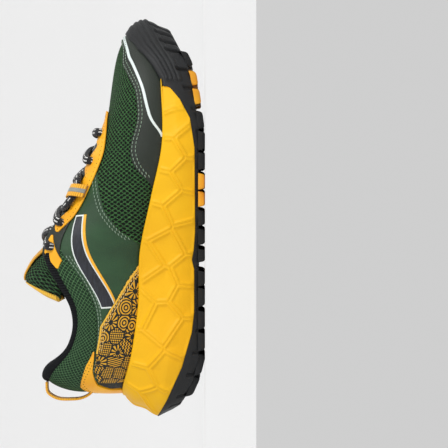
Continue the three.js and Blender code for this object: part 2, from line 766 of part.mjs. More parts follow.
// Point of the tongue: share of its length, side from -1 to 1, depth under its outer face
function tonguePoint(share, side, depth) {
  const { at, under } = crown(share);
  const wide = halfAt(share) * side + carry(0, listAt(tongueMiddle, share), 0).y;
  const fall = listAt(tongueDrop, share) * side * side + depth;
  if (under.z > 0) under.negate();
  return at.addScaledVector(under, fall).setY(wide);
}

function tongueBody(from, to, rows, thickness) {
  const across = 8;
  const rim = (k) => 1 - Math.abs((2 * k) / across - 1) ** 4 * 0.55;
  const share = (i) => from + ((to - from) * i) / rows;
  const side = (k) => 1 - (2 * k) / across;
  const front = (i, k) => tonguePoint(share(i), side(k), (thickness * (1 - rim(k))) / 2);
  const back = (i, k) => tonguePoint(share(i), side(k), thickness - (thickness * (1 - rim(k))) / 2);
  return sandwich(rows, across, front, back);
}

const tongueLength = () => {
  const points = tongueCrown.map(([x, z]) => carry(x, 0, z));
  return new THREE.CatmullRomCurve3(points).getLength();
};
const splitShare = tongueClearance / 2 / tongueLength();

const tongueLower = () => tongueBody(0, tongueSplit - splitShare, 12, tongueThickness);
const tongueTop = () => tongueBody(tongueSplit + splitShare, 0.955, 5, tongueTopThickness);

// Binding: a strip round the free edge of the tongue
function tongueBinding() {
  const across = 8;
  const side = (k) => 1 - (2 * k) / across;
  const from = 0.955 + gap / tongueLength();
  const to = from + bindingHeight / tongueLength();
  const share = (i) => (i ? to : from);
  const front = (i, k) => tonguePoint(share(i), side(k), 0);
  const back = (i, k) => tonguePoint(share(i), side(k), tongueTopThickness);
  return sandwich(1, across, front, back);
}

// Webbing strip down the crown of the tongue, over a share of its length
function tongueWebbing(from, to, rows) {
  const across = 4;
  const share = (i) => from + ((to - from) * i) / rows;
  const side = (i, k) => (0.5 - k / across) * (webbingWidth / halfAt(share(i)));
  const face = (depth) => (i, k) => tonguePoint(share(i), side(i, k), depth);
  return sandwich(rows, across, face(-layerGap - webbingThickness), face(-layerGap));
}

// ---- lace ----

// One half of the lace, from the middle of the front bar to the tucked end, by eyelet
function laceHalf(outerFirst) {
  const points = [];
  const crossingLift = webbingThickness + 3.6 + (outerFirst ? 0 : 2 * laceRadius + 0.9);
  eyelets.forEach((eyelet, i) => {
    const outerSide = outerFirst === (i % 2 === 0);
    const onSide = (station) => (outerSide ? station : stations - station);
    if (eyelet === loopEyelet) {
      points.push(layer(onSide(eyelet + 0.24), 0.93, patchInner + 3));
      points.push(layer(onSide(eyelet), 0.86, patchInner + 2.5));
      points.push(layer(onSide(eyelet - 0.24), 0.93, patchInner + 3));
    } else {
      points.push(layer(onSide(eyelet), eyeletHeight, trimOuter + 2.4));
      points.push(layer(onSide(eyelet), eyeletHeight, -1.5));
    }
    if (i === eyelets.length - 1) {
      points.push(layer(onSide(eyelet - 0.03), 0.84, -8));
      points.push(layer(onSide(eyelet - 0.1), 0.68, -8.5));
      return;
    }
    if (eyelet !== loopEyelet) {
      points.push(layer(onSide(eyelet - 0.04), 0.96, meshInner - 3));
      points.push(layer(onSide(eyelet - 0.1), 1.1, -3.4));
    }
    const next = eyelets[i + 1];
    const middle = (skin(onSide(eyelet), 1).x + skin(stations - onSide(next), 1).x) / 2;
    points.push(tongueCrownAt(middle).add(new THREE.Vector3(0, 0, crossingLift)));
  });
  return points;
}

function tongueCrownAt(x) {
  let best = crown(0).at;
  for (let share = 0; share <= 1; share += 0.005) {
    const { at } = crown(share);
    if (Math.abs(at.x - x) < Math.abs(best.x - x)) best = at;
  }
  const share = (best.x - crown(0).at.x) / (crown(1).at.x - crown(0).at.x);
  return best.clone().setY(carry(0, listAt(tongueMiddle, share), 0).y);
}

function roundSection(radius, sides) {
  const shape = new THREE.Shape();
  for (let i = 0; i < sides; i++) {
    const angle = (2 * Math.PI * i) / sides;
    const point = [radius * Math.cos(angle), radius * Math.sin(angle)];
    if (i === 0) shape.moveTo(...point);
    else shape.lineTo(...point);
  }
  return shape;
}

function laceTube(radius, sides) {
  const outer = laceHalf(true);
  const inner = laceHalf(false);
  const bar = outer[0].clone().add(inner[0]).multiplyScalar(0.5).add(new THREE.Vector3(0, 0, 2));
  const curve = new THREE.CatmullRomCurve3([...outer.toReversed(), bar, ...inner], false, "centripetal");
  return new THREE.ExtrudeGeometry(roundSection(radius, sides), {
    extrudePath: curve,
    steps: 130,
    bevelEnabled: false,
  });
}

function aglet(outerSide) {
  const half = laceHalf(outerSide);
  const end = half.at(-1);
  const direction = end.clone().sub(half.at(-2)).normalize();
  const start = end.clone().addScaledVector(direction, gap);
  const rod = new THREE.LineCurve3(start, start.clone().addScaledVector(direction, 9));
  return new THREE.ExtrudeGeometry(roundSection(laceRadius, 6), { extrudePath: rod, steps: 1, bevelEnabled: false });
}

// ---- assembly ----

const finishes = {
  blackRubber: new THREE.MeshStandardMaterial({ color: 0x2c2e33, roughness: 0.85 }),
  yellowRubber: new THREE.MeshStandardMaterial({ color: 0xf0a81e, roughness: 0.8 }),
  yellowFoam: new THREE.MeshStandardMaterial({ color: 0xfcc21c, roughness: 0.75 }),
  board: new THREE.MeshStandardMaterial({ color: 0xd8d4c8, roughness: 0.95 }),
  ochreFabric: new THREE.MeshStandardMaterial({ color: 0xc08a1c, roughness: 0.95 }),
  greenMesh: new THREE.MeshStandardMaterial({ color: 0x2f4f2f, roughness: 0.95 }),
  greenSynthetic: new THREE.MeshStandardMaterial({ color: 0x34563a, roughness: 0.7 }),
  darkSynthetic: new THREE.MeshStandardMaterial({ color: 0x333d30, roughness: 0.65 }),
  yellowSynthetic: new THREE.MeshStandardMaterial({ color: 0xfdb81e, roughness: 0.6 }),
  reflective: new THREE.MeshStandardMaterial({ color: 0xdfe9e6, roughness: 0.4 }),
  printed: new THREE.MeshStandardMaterial({ color: 0x23241c, roughness: 0.7 }),
  navy: new THREE.MeshStandardMaterial({ color: 0x14181f, roughness: 0.5 }),
  blackLining: new THREE.MeshStandardMaterial({ color: 0x1c1d1f, roughness: 0.95 }),
  stiffener: new THREE.MeshStandardMaterial({ color: 0xc9c6bd, roughness: 0.8 }),
  blackLace: new THREE.MeshStandardMaterial({ color: 0x17181b, roughness: 0.9 }),
  clearTip: new THREE.MeshStandardMaterial({ color: 0x2a2c30, roughness: 0.3 }),
};

const group = new THREE.Group();

function add(name, geometry, material) {
  const mesh = new THREE.Mesh(welded(geometry), material);
  mesh.name = name;
  group.add(mesh);
}

add("outsole", outsole(), finishes.blackRubber);
add("outsole_pod_forefoot", outsolePod(podRows.forefoot), finishes.yellowRubber);
add("outsole_pod_midfoot", outsolePod(podRows.midfoot), finishes.yellowRubber);
add("midsole", midsole(), finishes.yellowFoam);
add("lasting_board", lastingBoard(), finishes.board);
add("sockliner", sockliner(), finishes.ochreFabric);
add("toe_puff", toePuff(), finishes.stiffener);
add("heel_counter", heelCounter(), finishes.stiffener);
add("vamp_mesh", vampMesh(), finishes.greenMesh);
add("collar_panel", collarPanel(), finishes.greenMesh);
add("collar_lining", collarLining(), finishes.blackLining);
add("mudguard", mudguard(), finishes.darkSynthetic);
add("reflective_piping", reflectivePiping(), finishes.reflective);
add("heel_overlay", heelOverlay(), finishes.yellowSynthetic);
add("lace_stay", laceStay(), finishes.yellowSynthetic);
for (const [side, outerSide] of [["lateral", true], ["medial", false]]) {
  add(`quarter_${side}`, quarter(outerSide), finishes.greenSynthetic);
  add(`print_panel_${side}`, printPanel(outerSide), finishes.printed);
  add(`print_piping_${side}`, printPiping(outerSide), finishes.yellowSynthetic);
  add(`eyestay_underlay_${side}`, eyestayUnderlay(outerSide), finishes.darkSynthetic);
  add(`top_eyelet_patch_${side}`, topEyeletPatch(outerSide), finishes.yellowSynthetic);
  add(`lace_loop_${side}`, laceLoop(outerSide), finishes.yellowSynthetic);
  add(`side_mark_${side}`, sideMark(outerSide), finishes.navy);
  add(`aglet_${side}`, aglet(outerSide), finishes.clearTip);
}
add("heel_pull_loop", heelPullLoop(), finishes.yellowSynthetic);
add("tongue", tongueLower(), finishes.greenMesh);
add("tongue_top", tongueTop(), finishes.greenMesh);
add("tongue_binding", tongueBinding(), finishes.yellowSynthetic);
add("tongue_webbing", tongueWebbing(0.16, tongueSplit - splitShare, 12), finishes.yellowSynthetic);
add("tongue_webbing_top", tongueWebbing(tongueSplit + splitShare, 0.95, 5), finishes.yellowSynthetic);
add("lace", laceTube(laceRadius, 6), finishes.blackLace);

export default group;
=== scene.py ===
import math
from functools import partial

import bpy
import numpy as np
from mathutils import Matrix, Vector


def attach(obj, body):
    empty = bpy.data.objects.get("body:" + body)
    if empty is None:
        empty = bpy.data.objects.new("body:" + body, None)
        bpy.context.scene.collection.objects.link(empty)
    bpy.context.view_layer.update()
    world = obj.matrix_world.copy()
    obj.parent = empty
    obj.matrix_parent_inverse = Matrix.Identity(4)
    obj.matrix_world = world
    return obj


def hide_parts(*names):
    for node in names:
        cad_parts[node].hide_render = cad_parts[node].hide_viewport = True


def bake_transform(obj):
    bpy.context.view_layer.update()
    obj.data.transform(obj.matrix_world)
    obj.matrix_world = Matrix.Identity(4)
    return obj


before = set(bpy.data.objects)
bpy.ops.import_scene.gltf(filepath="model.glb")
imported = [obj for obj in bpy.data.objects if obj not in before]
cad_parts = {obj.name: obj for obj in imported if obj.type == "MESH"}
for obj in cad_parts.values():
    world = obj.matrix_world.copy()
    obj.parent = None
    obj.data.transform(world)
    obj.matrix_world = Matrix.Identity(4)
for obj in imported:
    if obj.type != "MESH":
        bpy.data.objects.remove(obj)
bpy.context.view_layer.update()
mm = 0.001


# Colours and nodes

def linearOf(hexColour):
    # sRGB hex to linear: each channel c is c / 12.92 below 0.04045, else ((c + 0.055) / 1.055) to the power 2.4
    channels = [int(hexColour[i:i + 2], 16) / 255 for i in (1, 3, 5)]
    return [c / 12.92 if c <= 0.04045 else ((c + 0.055) / 1.055) ** 2.4 for c in channels] + [1.0]


def addNode(tree, kind, *inputs, out=0, stops=None, **settings):
    # kind is a shader node's name with its operation after a space; inputs in order are numbers, hex colours or
    # sockets, and a setting goes to the node's property or input of that name; the output asked for comes back
    name, _, operation = kind.partition(" ")
    node = tree.nodes.new("ShaderNode" + name)
    if operation:
        node.operation = operation
    sockets = list(node.inputs)
    if name == "Mix":
        node.data_type = "RGBA"
        sockets, out = [node.inputs[i] for i in (0, 6, 7)], 2
    named = []
    for key, value in settings.items():
        if hasattr(node, key):
            setattr(node, key, value)
        else:
            named.append((node.inputs[key.replace("_", " ")], value))
    for socket, value in list(zip(sockets, inputs)) + named:
        if isinstance(value, bpy.types.NodeSocket):
            tree.links.new(value, socket)
        else:
            socket.default_value = linearOf(value) if isinstance(value, str) else value
    if stops:
        elements = node.color_ramp.elements
        while len(elements) < len(stops):
            elements.new(0.5)
        for element, (place, colour) in zip(elements, stops):
            element.position, element.color = place, linearOf(colour)
    return node.outputs[out]


def newMaterial(name, roughness, surface, depth=0.3, **shader):
    # surface gives the colour and the bump height from uv in mm, its two parts and the object place in metres;
    # depth is the bump's height in mm
    material = bpy.data.materials.new(name)
    material.use_nodes = True
    tree = material.node_tree
    bsdf = tree.nodes["Principled BSDF"]
    bsdf.inputs["Roughness"].default_value = roughness
    for key, value in shader.items():
        bsdf.inputs[key.replace("_", " ")].default_value = value
    add = partial(addNode, tree)
    uv, where = add("TexCoord", out="UV"), add("TexCoord", out="Object")
    colour, height = surface(add, uv, add("SeparateXYZ", uv), add("SeparateXYZ", uv, out=1), where)
    tree.links.new(colour, bsdf.inputs["Base Color"])
    tree.links.new(add("Bump", Height=height, Distance=depth * mm, Strength=1.0), bsdf.inputs["Normal"])
    return material


# Materials: texture coordinates are millimetres on each piece's own UV map

def ridges(add, value, rate):
    # Even ridges: the size of the sine of value times rate
    return add("Math ABSOLUTE", add("Math SINE", add("Math MULTIPLY", value, rate)))


def diagonals(add, u, v, rate):
    return [ridges(add, add("Math " + operation, u, v), rate) for operation in ("ADD", "SUBTRACT")]


def openMesh(threadHex, midHex, holeHex, pitch):
    # Knitted mesh: ridges on the two diagonals leave holes between threads, and noise breaks the threads up
    def surface(add, uv, u, v, where):
        drift = add("Math MULTIPLY", add("TexNoise", uv, Scale=0.3, Detail=2.0), 1.4)
        waves = []
        for operation in ("ADD", "SUBTRACT"):
            line = add("Math ADD", add("Math " + operation, u, v), drift)
            waves.append(ridges(add, line, math.pi / pitch / 1.414))
        hole = add("Math MULTIPLY", *waves)
        fleck = add("TexNoise", uv, Scale=0.9, Detail=2.0, Roughness=0.7)
        thread = add("ValToRGB", fleck, stops=[(0.4, midHex), (0.6, threadHex)])
        colour = add("Mix", add("ValToRGB", hole, stops=[(0.22, "#000000"), (0.5, "#ffffff")]), thread, holeHex)
        return colour, add("Math SUBTRACT", 1.0, hole)
    return surface


def jacquard(add, uv, u, v, where):
    # Knit with a net of lighter yarn in diamonds: the lower of the two diagonals' ridges, on a ground of flecks
    pitch = 3.3
    lines = add("Math MINIMUM", *diagonals(add, u, v, math.pi / pitch))
    ragged = add("Math MULTIPLY", add("TexNoise", uv, Scale=0.8, Detail=2.0), 0.4)
    net = add("ValToRGB", add("Math ADD", lines, ragged), stops=[(0.34, "#ffffff"), (0.5, "#000000")])
    fleck = add("TexNoise", uv, Scale=1.3, Detail=3.0, Roughness=0.75)
    ground = add("ValToRGB", fleck, stops=[(0.42, "#0b180f"), (0.55, "#1c3822"), (0.68, "#315636")])
    return add("Mix", net, ground, "#5d885a"), add("Math ADD", fleck, net)


def coated(hexColour, darkHex, grain=1.5):
    # Even colour with slow clouds, fine leather-like grain
    def surface(add, uv, u, v, where):
        cloud = add("TexNoise", uv, Scale=0.05, Detail=4.0)
        return (add("ValToRGB", cloud, stops=[(0.35, darkHex), (0.6, hexColour)]),
                add("TexNoise", uv, Scale=grain, Detail=4.0, Roughness=0.6))
    return surface


def moulded(hexColour, darkHex, cloudScale, poreScale):
    # Moulded foam, rubber or thread in object coordinates: slow clouds of colour and fine pores, per metre
    def surface(add, uv, u, v, where):
        cloud = add("TexNoise", where, Scale=cloudScale, Detail=4.0)
        return (add("ValToRGB", cloud, stops=[(0.35, darkHex), (0.65, hexColour)]),
                add("TexNoise", where, Scale=poreScale, Detail=3.0))
    return surface


def ribbed(hexColour, darkHex, pitch):
    # Woven tape: ridges straight across the strip, with painted shade darkening the valleys, and fine threads
    # along it
    def surface(add, uv, u, v, where):
        rib = ridges(add, u, math.pi / pitch)
        thread = ridges(add, v, math.pi / 0.6)
        height = add("Math ADD", rib, add("Math MULTIPLY", thread, 0.25))
        # Painted shade: the colour runs from the dark tone in the valleys to the full colour on the ribs
        return add("ValToRGB", rib, stops=[(0.0, darkHex), (0.5, hexColour)]), height
    return surface


def tricot(add, uv, u, v, where):
    # Fine open grid of black yarn, 1.5 mm apart
    grid = add("Math MULTIPLY", *[ridges(add, way, math.pi / 1.5) for way in (u, v)])
    return add("ValToRGB", grid, stops=[(0.1, "#26282b"), (0.6, "#08090a")]), grid


def streaked(hexColour, lightHex):
    # Printed film: noise stretched along the piece
    def surface(add, uv, u, v, where):
        stretched = add("Mapping", uv, Scale=(0.12, 1.6, 1.0))
        streak = add("TexNoise", stretched, Scale=1.0, Detail=4.0, Roughness=0.7)
        return add("ValToRGB", streak, stops=[(0.38, hexColour), (0.72, lightHex)]), streak
    return surface


def braid(add, uv, u, v, where):
    # Black plaits from two diagonals, with painted shade darkening the grooves between them, and two rows of
    # white tracer dashes 2.6 mm long, 4.6 mm apart
    plait = add("Math MULTIPLY", *diagonals(add, u, v, 2.1))
    dash = add("Math LESS_THAN", add("Math FRACT", add("Math DIVIDE", u, 4.6)), 0.56)
    rows = [add("Math LESS_THAN", add("Math ABSOLUTE", add("Math SUBTRACT", v, centre)), 0.45)
            for centre in (-1.3, 1.3)]
    tracer = add("Math MULTIPLY", dash, add("Math MAXIMUM", *rows))
    # Painted shade: the black is darkest in the grooves between plaits and a little lighter on their crests
    black = add("ValToRGB", plait, stops=[(0.1, "#08080a"), (0.7, "#222327")])
    return add("Mix", tracer, black, "#e8e8e4"), plait


def doodles(add, uv, u, v, where):
    # Voronoi cells 11 mm apart, each filled by its random number with rings, rays, dots, stripes or zigzags
    cell, plainMargin = 11.0, 27.0
    ask = dict(voronoi_dimensions="2D", Scale=1 / cell, Randomness=0.8)
    centre = add("TexVoronoi", uv, out="Position", **ask)
    pick = add("SeparateColor", add("TexVoronoi", uv, out="Color", **ask))
    edge = add("TexVoronoi", uv, out="Distance", feature="DISTANCE_TO_EDGE", **ask)
    x = add("Math SUBTRACT", u, add("SeparateXYZ", centre))
    y = add("Math SUBTRACT", v, add("SeparateXYZ", centre, out=1))
    radius = add("Math SQRT", add("Math ADD", add("Math MULTIPLY", x, x), add("Math MULTIPLY", y, y)))
    wave = lambda value, rate: add("Math SINE", add("Math MULTIPLY", value, rate))
    rings = add("Math GREATER_THAN", wave(radius, 3.0), 0.0)
    rays = add("Math GREATER_THAN", wave(add("Math ARCTAN2", y, x), 11.0), 0.1)
    sunburst = add("Math MULTIPLY", rays, add("Math GREATER_THAN", radius, 1.9))
    dots = add("Math GREATER_THAN", add("Math MULTIPLY", wave(add("Math ADD", u, v), 1.9),
                                        wave(add("Math SUBTRACT", u, v), 1.9)), 0.12)
    stripes = add("Math GREATER_THAN", wave(add("Math ADD", x, add("Math MULTIPLY", y, 0.4)), 3.2), 0.15)
    teeth = add("Math PINGPONG", x, 1.2)
    zigzag = add("Math GREATER_THAN", wave(add("Math ADD", y, teeth), 2.6), 0.2)
    chosen = rings
    for threshold, pattern in ((0.3, sunburst), (0.5, dots), (0.66, stripes), (0.82, zigzag)):
        above = add("Math GREATER_THAN", pick, threshold)
        keep = add("Math MULTIPLY", chosen, add("Math SUBTRACT", 1.0, above))
        chosen = add("Math ADD", keep, add("Math MULTIPLY", pattern, above))
    pastMargin = add("Math GREATER_THAN", add("Math ABSOLUTE", u), plainMargin)
    printed = add("Math MULTIPLY", add("Math GREATER_THAN", edge, 0.05), pastMargin)
    ink = add("Math MULTIPLY", chosen, printed)
    return add("Mix", ink, "#191c17", "#e0a728"), add("TexNoise", uv, Scale=1.6, Detail=4.0)


finishes = {
    # Knitted polyester: light threads 2.3 mm apart, dark holes, no gloss
    "mesh": newMaterial("knittedMesh", 0.85, openMesh("#43703f", "#1e3d20", "#040805", 2.3), 0.6,
                        Specular_IOR_Level=0.25),
    "tongueMesh": newMaterial("spacerMesh", 0.85, openMesh("#446a42", "#1b3621", "#050b07", 2.6), 0.6,
                              Specular_IOR_Level=0.25),
    "jacquard": newMaterial("jacquardKnit", 0.85, jacquard, 0.5, Specular_IOR_Level=0.25),
    # Polyurethane-coated microfibre: soft satin shine over fine grain
    "green": newMaterial("greenMicrofibre", 0.5, coated("#274a2b", "#203d23"), Specular_IOR_Level=0.4),
    "dark": newMaterial("darkMicrofibre", 0.46, coated("#20281f", "#1c231b"), Specular_IOR_Level=0.4),
    "yellow": newMaterial("yellowMicrofibre", 0.45, coated("#fdb71c", "#f4a812"), 0.25, Specular_IOR_Level=0.4),
    # Moulded EVA: saturated skin with very fine pores
    "foam": newMaterial("mouldedEvaFoam", 0.5, moulded("#f1b90f", "#eaae0a", 14, 900), 0.15,
                        Specular_IOR_Level=0.25),
    # Carbon rubber: matt with a faint bloom
    "rubber": newMaterial("blackCarbonRubber", 0.58, moulded("#17191b", "#121315", 40, 1300), 0.2,
                          Specular_IOR_Level=0.4),
    "yellowRubber": newMaterial("yellowRubber", 0.5, moulded("#f6b21f", "#e89a14", 40, 1300), 0.2),
    # Grosgrain: matt ribs, with painted shade in the valleys
    "webbing": newMaterial("yellowGrosgrain", 0.7, ribbed("#fdb92a", "#cf7f10", 1.25), 0.4, Sheen_Weight=0.2),
    "tape": newMaterial("yellowBindingTape", 0.7, ribbed("#fbc53a", "#e0a01e", 0.9), 0.25, Sheen_Weight=0.2),
    "lining": newMaterial("tricotLining", 0.92, tricot, 0.4, Specular_IOR_Level=0.15),
    # Brushed polyester: flat ochre with a short nap
    "sock": newMaterial("brushedSocklinerCloth", 0.95, moulded("#c58b1f", "#9c6812", 700, 900), 0.3,
                        Sheen_Weight=0.3, Specular_IOR_Level=0.15),
    # Glass-bead film: pale silver with a slight shine
    "reflective": newMaterial("glassBeadFilm", 0.42, moulded("#e9f1ef", "#d3dfdc", 2500, 2500), 0.1),
    "greyStripe": newMaterial("greyReflectiveStripe", 0.45, streaked("#7f827b", "#a4a79f"), 0.1),
    # Heat-welded films: smooth, with a streaky printed grain
    "navy": newMaterial("streakedNavyFilm", 0.42, streaked("#0e1016", "#2b303b"), 0.1),
    "whiteFilm": newMaterial("whiteFilm", 0.45, streaked("#dfe8e4", "#f4f8f6"), 0.1),
    "yellowFilm": newMaterial("yellowFilm", 0.45, streaked("#f0a91e", "#fbc238"), 0.1),
    "doodle": newMaterial("screenPrintedSynthetic", 0.5, doodles, 0.25, Specular_IOR_Level=0.35),
    # Braided polyester cord: matt plaits
    "lace": newMaterial("braidedLace", 0.75, braid, 0.5, Sheen_Weight=0.2, Specular_IOR_Level=0.3),
    # Bonded nylon thread, and the shaded inside of a punched hole
    "paleThread": newMaterial("paleGreenThread", 0.7, moulded("#94a894", "#6f8471", 1800, 3000), 0.1),
    "yellowThread": newMaterial("yellowThread", 0.7, moulded("#ecd08c", "#c79c4a", 1800, 3000), 0.1),
    "perforation": newMaterial("punchedHoleShade", 0.95, moulded("#5a3f08", "#3a2904", 1800, 3000), 0.1),
}
print("materials made")


# Surfaces: the same ribs of the last as the frame is built on, in mm from the heel

ribs = np.array([
    [[18, 3, 61], [16.5, 3, 82], [19, 3, 108], [29, 3, 124]],
    [[25, -17, 60.5], [21, -20, 80], [27, -19, 105], [37, -14, 120]],
    [[48, -33.5, 54], [47, -42, 72], [52, -38, 92], [56, -27, 103]],
    [[85, -38, 48.7], [85, -49, 66], [83, -46, 88], [82, -36, 100.5]],
    [[125, -40, 47.3], [125, -50, 72], [124, -47, 102], [124, -33, 120]],
    [[165, -47, 39], [165, -55, 62], [162, -44, 90], [160, -24, 103]],
    [[205, -52, 30.8], [205, -58, 50], [201, -44, 76], [196, -20, 86]],
    [[245, -45, 31.5], [249, -51, 52], [237, -36, 70], [219, -14, 76.5]],
    [[275, -24, 34], [282, -28, 58], [262, -20, 69], [223, -3, 75.5]],
    [[290, 5, 38], [302, 5, 70], [270, 5.5, 69], [224, 6, 75.5]],
    [[279, 33, 34], [286, 37, 58], [264, 28, 69], [223, 16, 75.5]],
    [[250, 50, 31.5], [254, 56, 52], [240, 45, 71], [219, 27, 76.5]],
    [[208, 54, 30.8], [208, 60, 50], [202, 52, 77], [196, 32, 86]],
    [[165, 47, 39], [165, 58, 62], [162, 53, 90], [160, 32, 103]],
    [[125, 45, 47.3], [125, 58, 72], [124, 53, 102], [124, 38, 120]],
    [[85, 44, 48.7], [85, 57, 66], [83, 53, 88], [82, 42, 100.5]],
    [[48, 40, 54], [47, 49, 72], [52, 44, 92], [56, 33, 103]],
    [[25, 23, 60.5], [21, 26, 80], [27, 25, 105], [37, 20, 120]],
], float)
widest = np.array([
    [0, 3], [9, -27], [44, -46.5], [85, -46], [125, -46.5], [165, -53.5], [205, -58.6], [250, -46], [281, -25.5],
    [300, 5], [285, 40.5], [255, 54], [209, 58.5], [165, 50.5], [125, 50], [85, 48], [44, 49], [9, 31],
], float)
spineLine = np.array([
    [24, 3], [32, 3], [54, 2], [85, 1], [125, 2], [165, -1], [205, 0], [238, 4], [258, 5], [268, 5],
], float)
groundLine = [(0, 30), (5, 21), (10, 14), (18, 9), (29, 4), (45, 0), (215, 0), (240, 3.3), (256, 6), (268, 10),
              (282, 17), (292, 22), (300, 31)]
rubberLine = [(0, 36), (13.5, 28.4), (39, 17), (65, 9.6), (80, 7.9), (112, 7.9), (119, 9.6), (126, 8.2),
              (140, 7.2), (202, 7.6), (224, 11), (238, 18.5), (247, 26), (252.5, 33)]
footLine = [(20, 38), (80, 37.5), (110, 36), (150, 31), (190, 26.5), (220, 25), (250, 27), (290, 32)]
widestLine = [(0, 35), (25, 30), (60, 24), (200, 19), (240, 22), (270, 36), (300, 45)]
stations = len(ribs)
heelToMiddle = 150
ribHeight = 62  # Nominal length of a rib, which turns its height share into mm


def cubicWeights(t):
    # Catmull-Rom: twice the weights of the four values about share t of the way from the second to the third
    return [-t + 2 * t**2 - t**3, 2 - 5 * t**2 + 3 * t**3, t + 4 * t**2 - 3 * t**3, t**3 - t**2]


def around(values, u):
    # Smooth curve through values that repeat, at place u
    u = np.asarray(u, float)
    i = np.floor(u).astype(int)
    t = (u - i)[..., None]
    return 0.5 * sum(w * values[(i + k) % len(values)] for w, k in zip(cubicWeights(t), (-1, 0, 1, 2)))


def skin(u, h):
    # Bezier rib at station u: (1-h)^3 P0 + 3h(1-h)^2 P1 + 3h^2(1-h) P2 + h^3 P3
    u, h = np.broadcast_arrays(np.asarray(u, float), np.asarray(h, float))
    flat = around(ribs.reshape(stations, -1), u).reshape(u.shape + (4, 3))
    weights = np.stack([(1 - h)**3, 3 * h * (1 - h)**2, 3 * h**2 * (1 - h), h**3], -1)
    return (flat * weights[..., None]).sum(-2)


def unit(vectors):
    # Vectors made 1 long
    return vectors / np.maximum(np.linalg.norm(vectors, axis=-1, keepdims=True), 1e-9)


def skinNormal(u, h):
    # Cross product of the surface's two slopes, each taken over a small step either side
    step = 0.02
    return unit(np.cross(skin(u + step, h) - skin(u - step, h), skin(u, h + step) - skin(u, h - step)))


def layer(u, h, offset):
    # Outer face of the upper moved along its outward normal
    return skin(u, h) + skinNormal(u, h) * np.asarray(offset, float)[..., None]


def line(points):
    # Straight lines between points of (place, value)
    xs, ys = zip(*points)
    return lambda place: np.interp(place, xs, ys)


def smoothLine(points):
    # The same with eased corners: the average of five nearby places
    straight = line(points)
    return lambda place: sum(straight(np.asarray(place) + d) for d in (-0.12, -0.06, 0, 0.06, 0.12)) / 5


groundAt, rubberAt, footAt, widestAt = map(line, (groundLine, rubberLine, footLine, widestLine))


def mirrored(points):
    # The same points, counted from the other side of the heel
    return [(stations - u, h) for u, h in reversed(points)]


def roundHeel(points):
    # The same points on both sides of the heel, which is station 0
    return [(-u, h) for u, h in reversed(points)] + list(points[1:])


def walkedAlong(path):
    # Distance from the first point to each point of a path
    return np.concatenate([[0], np.cumsum(np.linalg.norm(np.diff(path, axis=0), axis=1))])


def wrapUv(points):
    # Distance along the shoe, and distance round an axis inside it: 50 mm times the angle from upright
    return np.stack([points[..., 0], 50 * np.arctan2(points[..., 1] - 3, points[..., 2] - 25)], -1)


def ringUv(u, h):
    # Distance from the heel's middle line along the ribs' half height, and the rib's length times the height
    fine = np.linspace(0, stations / 2, 400)
    walked = walkedAlong(skin(fine, 0.5))
    turned = (np.asarray(u) + stations / 2) % stations - stations / 2
    return np.stack([np.sign(turned) * np.interp(np.abs(turned), fine, walked), ribHeight * h], -1)


def gridQuads(m, n, closed=False):
    # Faces of an m by n grid of points; closed joins the last row to the first
    rows = m if closed else m - 1
    i, k = np.meshgrid(np.arange(rows), np.arange(n - 1), indexing="ij")
    a, b = i * n + k, ((i + 1) % m) * n + k
    return np.stack([a, b, b + 1, a + 1], -1).reshape(-1, 4)


def meshObject(name, points, quads, uv, material):
    points = np.asarray(points, float).reshape(-1, 3) - [heelToMiddle, 0, 0]
    mesh = bpy.data.meshes.new(name)
    mesh.vertices.add(len(points))
    mesh.vertices.foreach_set("co", (points * mm).astype(np.float32).ravel())
    mesh.loops.add(quads.size)
    mesh.loops.foreach_set("vertex_index", quads.astype(np.int32).ravel())
    mesh.polygons.add(len(quads))
    mesh.polygons.foreach_set("loop_start", np.arange(0, quads.size, quads.shape[1], dtype=np.int32))
    mesh.polygons.foreach_set("use_smooth", np.full(len(quads), True))
    mesh.update(calc_edges=True)
    layerUv = mesh.uv_layers.new(name="UVMap")
    layerUv.data.foreach_set("uv", np.asarray(uv, np.float32).reshape(-1, 2)[quads.ravel()].ravel())
    mesh.validate(clean_customdata=False)
    mesh.materials.append(finishes[material])
    thing = bpy.data.objects.new(name, mesh)
    bpy.context.scene.collection.objects.link(thing)
    return thing


def place(thing, slot, replaced=(), body="shoe"):
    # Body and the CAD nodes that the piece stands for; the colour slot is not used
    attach(thing, body)
    if replaced:
        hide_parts(*replaced)
    return thing


def sandwich(front, back):
    # Closed body between two grids of points: both faces and the strip round their border
    m, n = front.shape[:2]
    half = m * n
    faces = gridQuads(m, n)
    acrossway, longway = np.arange(n - 1), np.arange(m - 1)
    border = np.concatenate([acrossway, longway * n + n - 1, half - 1 - acrossway, (m - 1 - longway) * n])
    following = np.roll(border, -1)
    strip = np.stack([border, following, following + half, border + half], -1)
    return np.concatenate([front.reshape(-1, 3), back.reshape(-1, 3)]), np.concatenate(
        [faces, faces[:, ::-1] + half, strip])


def bothFaces(u, v):
    # Texture places of a sandwich: the same for its front and its back
    return np.concatenate([np.stack(np.broadcast_arrays(u, v), -1).reshape(-1, 2)] * 2)


def edgedRows(count, length, edge):
    # Shares across a panel with close rows at both edges, and how high each stands: a rounded cut edge
    e = edge / length
    shares = np.concatenate([[0, e * 0.3], np.linspace(e, 1 - e, count), [1 - e * 0.3, 1]])
    lifts = np.concatenate([[0.03, 0.75], np.ones(count), [0.75, 0.03]])
    return shares, lifts


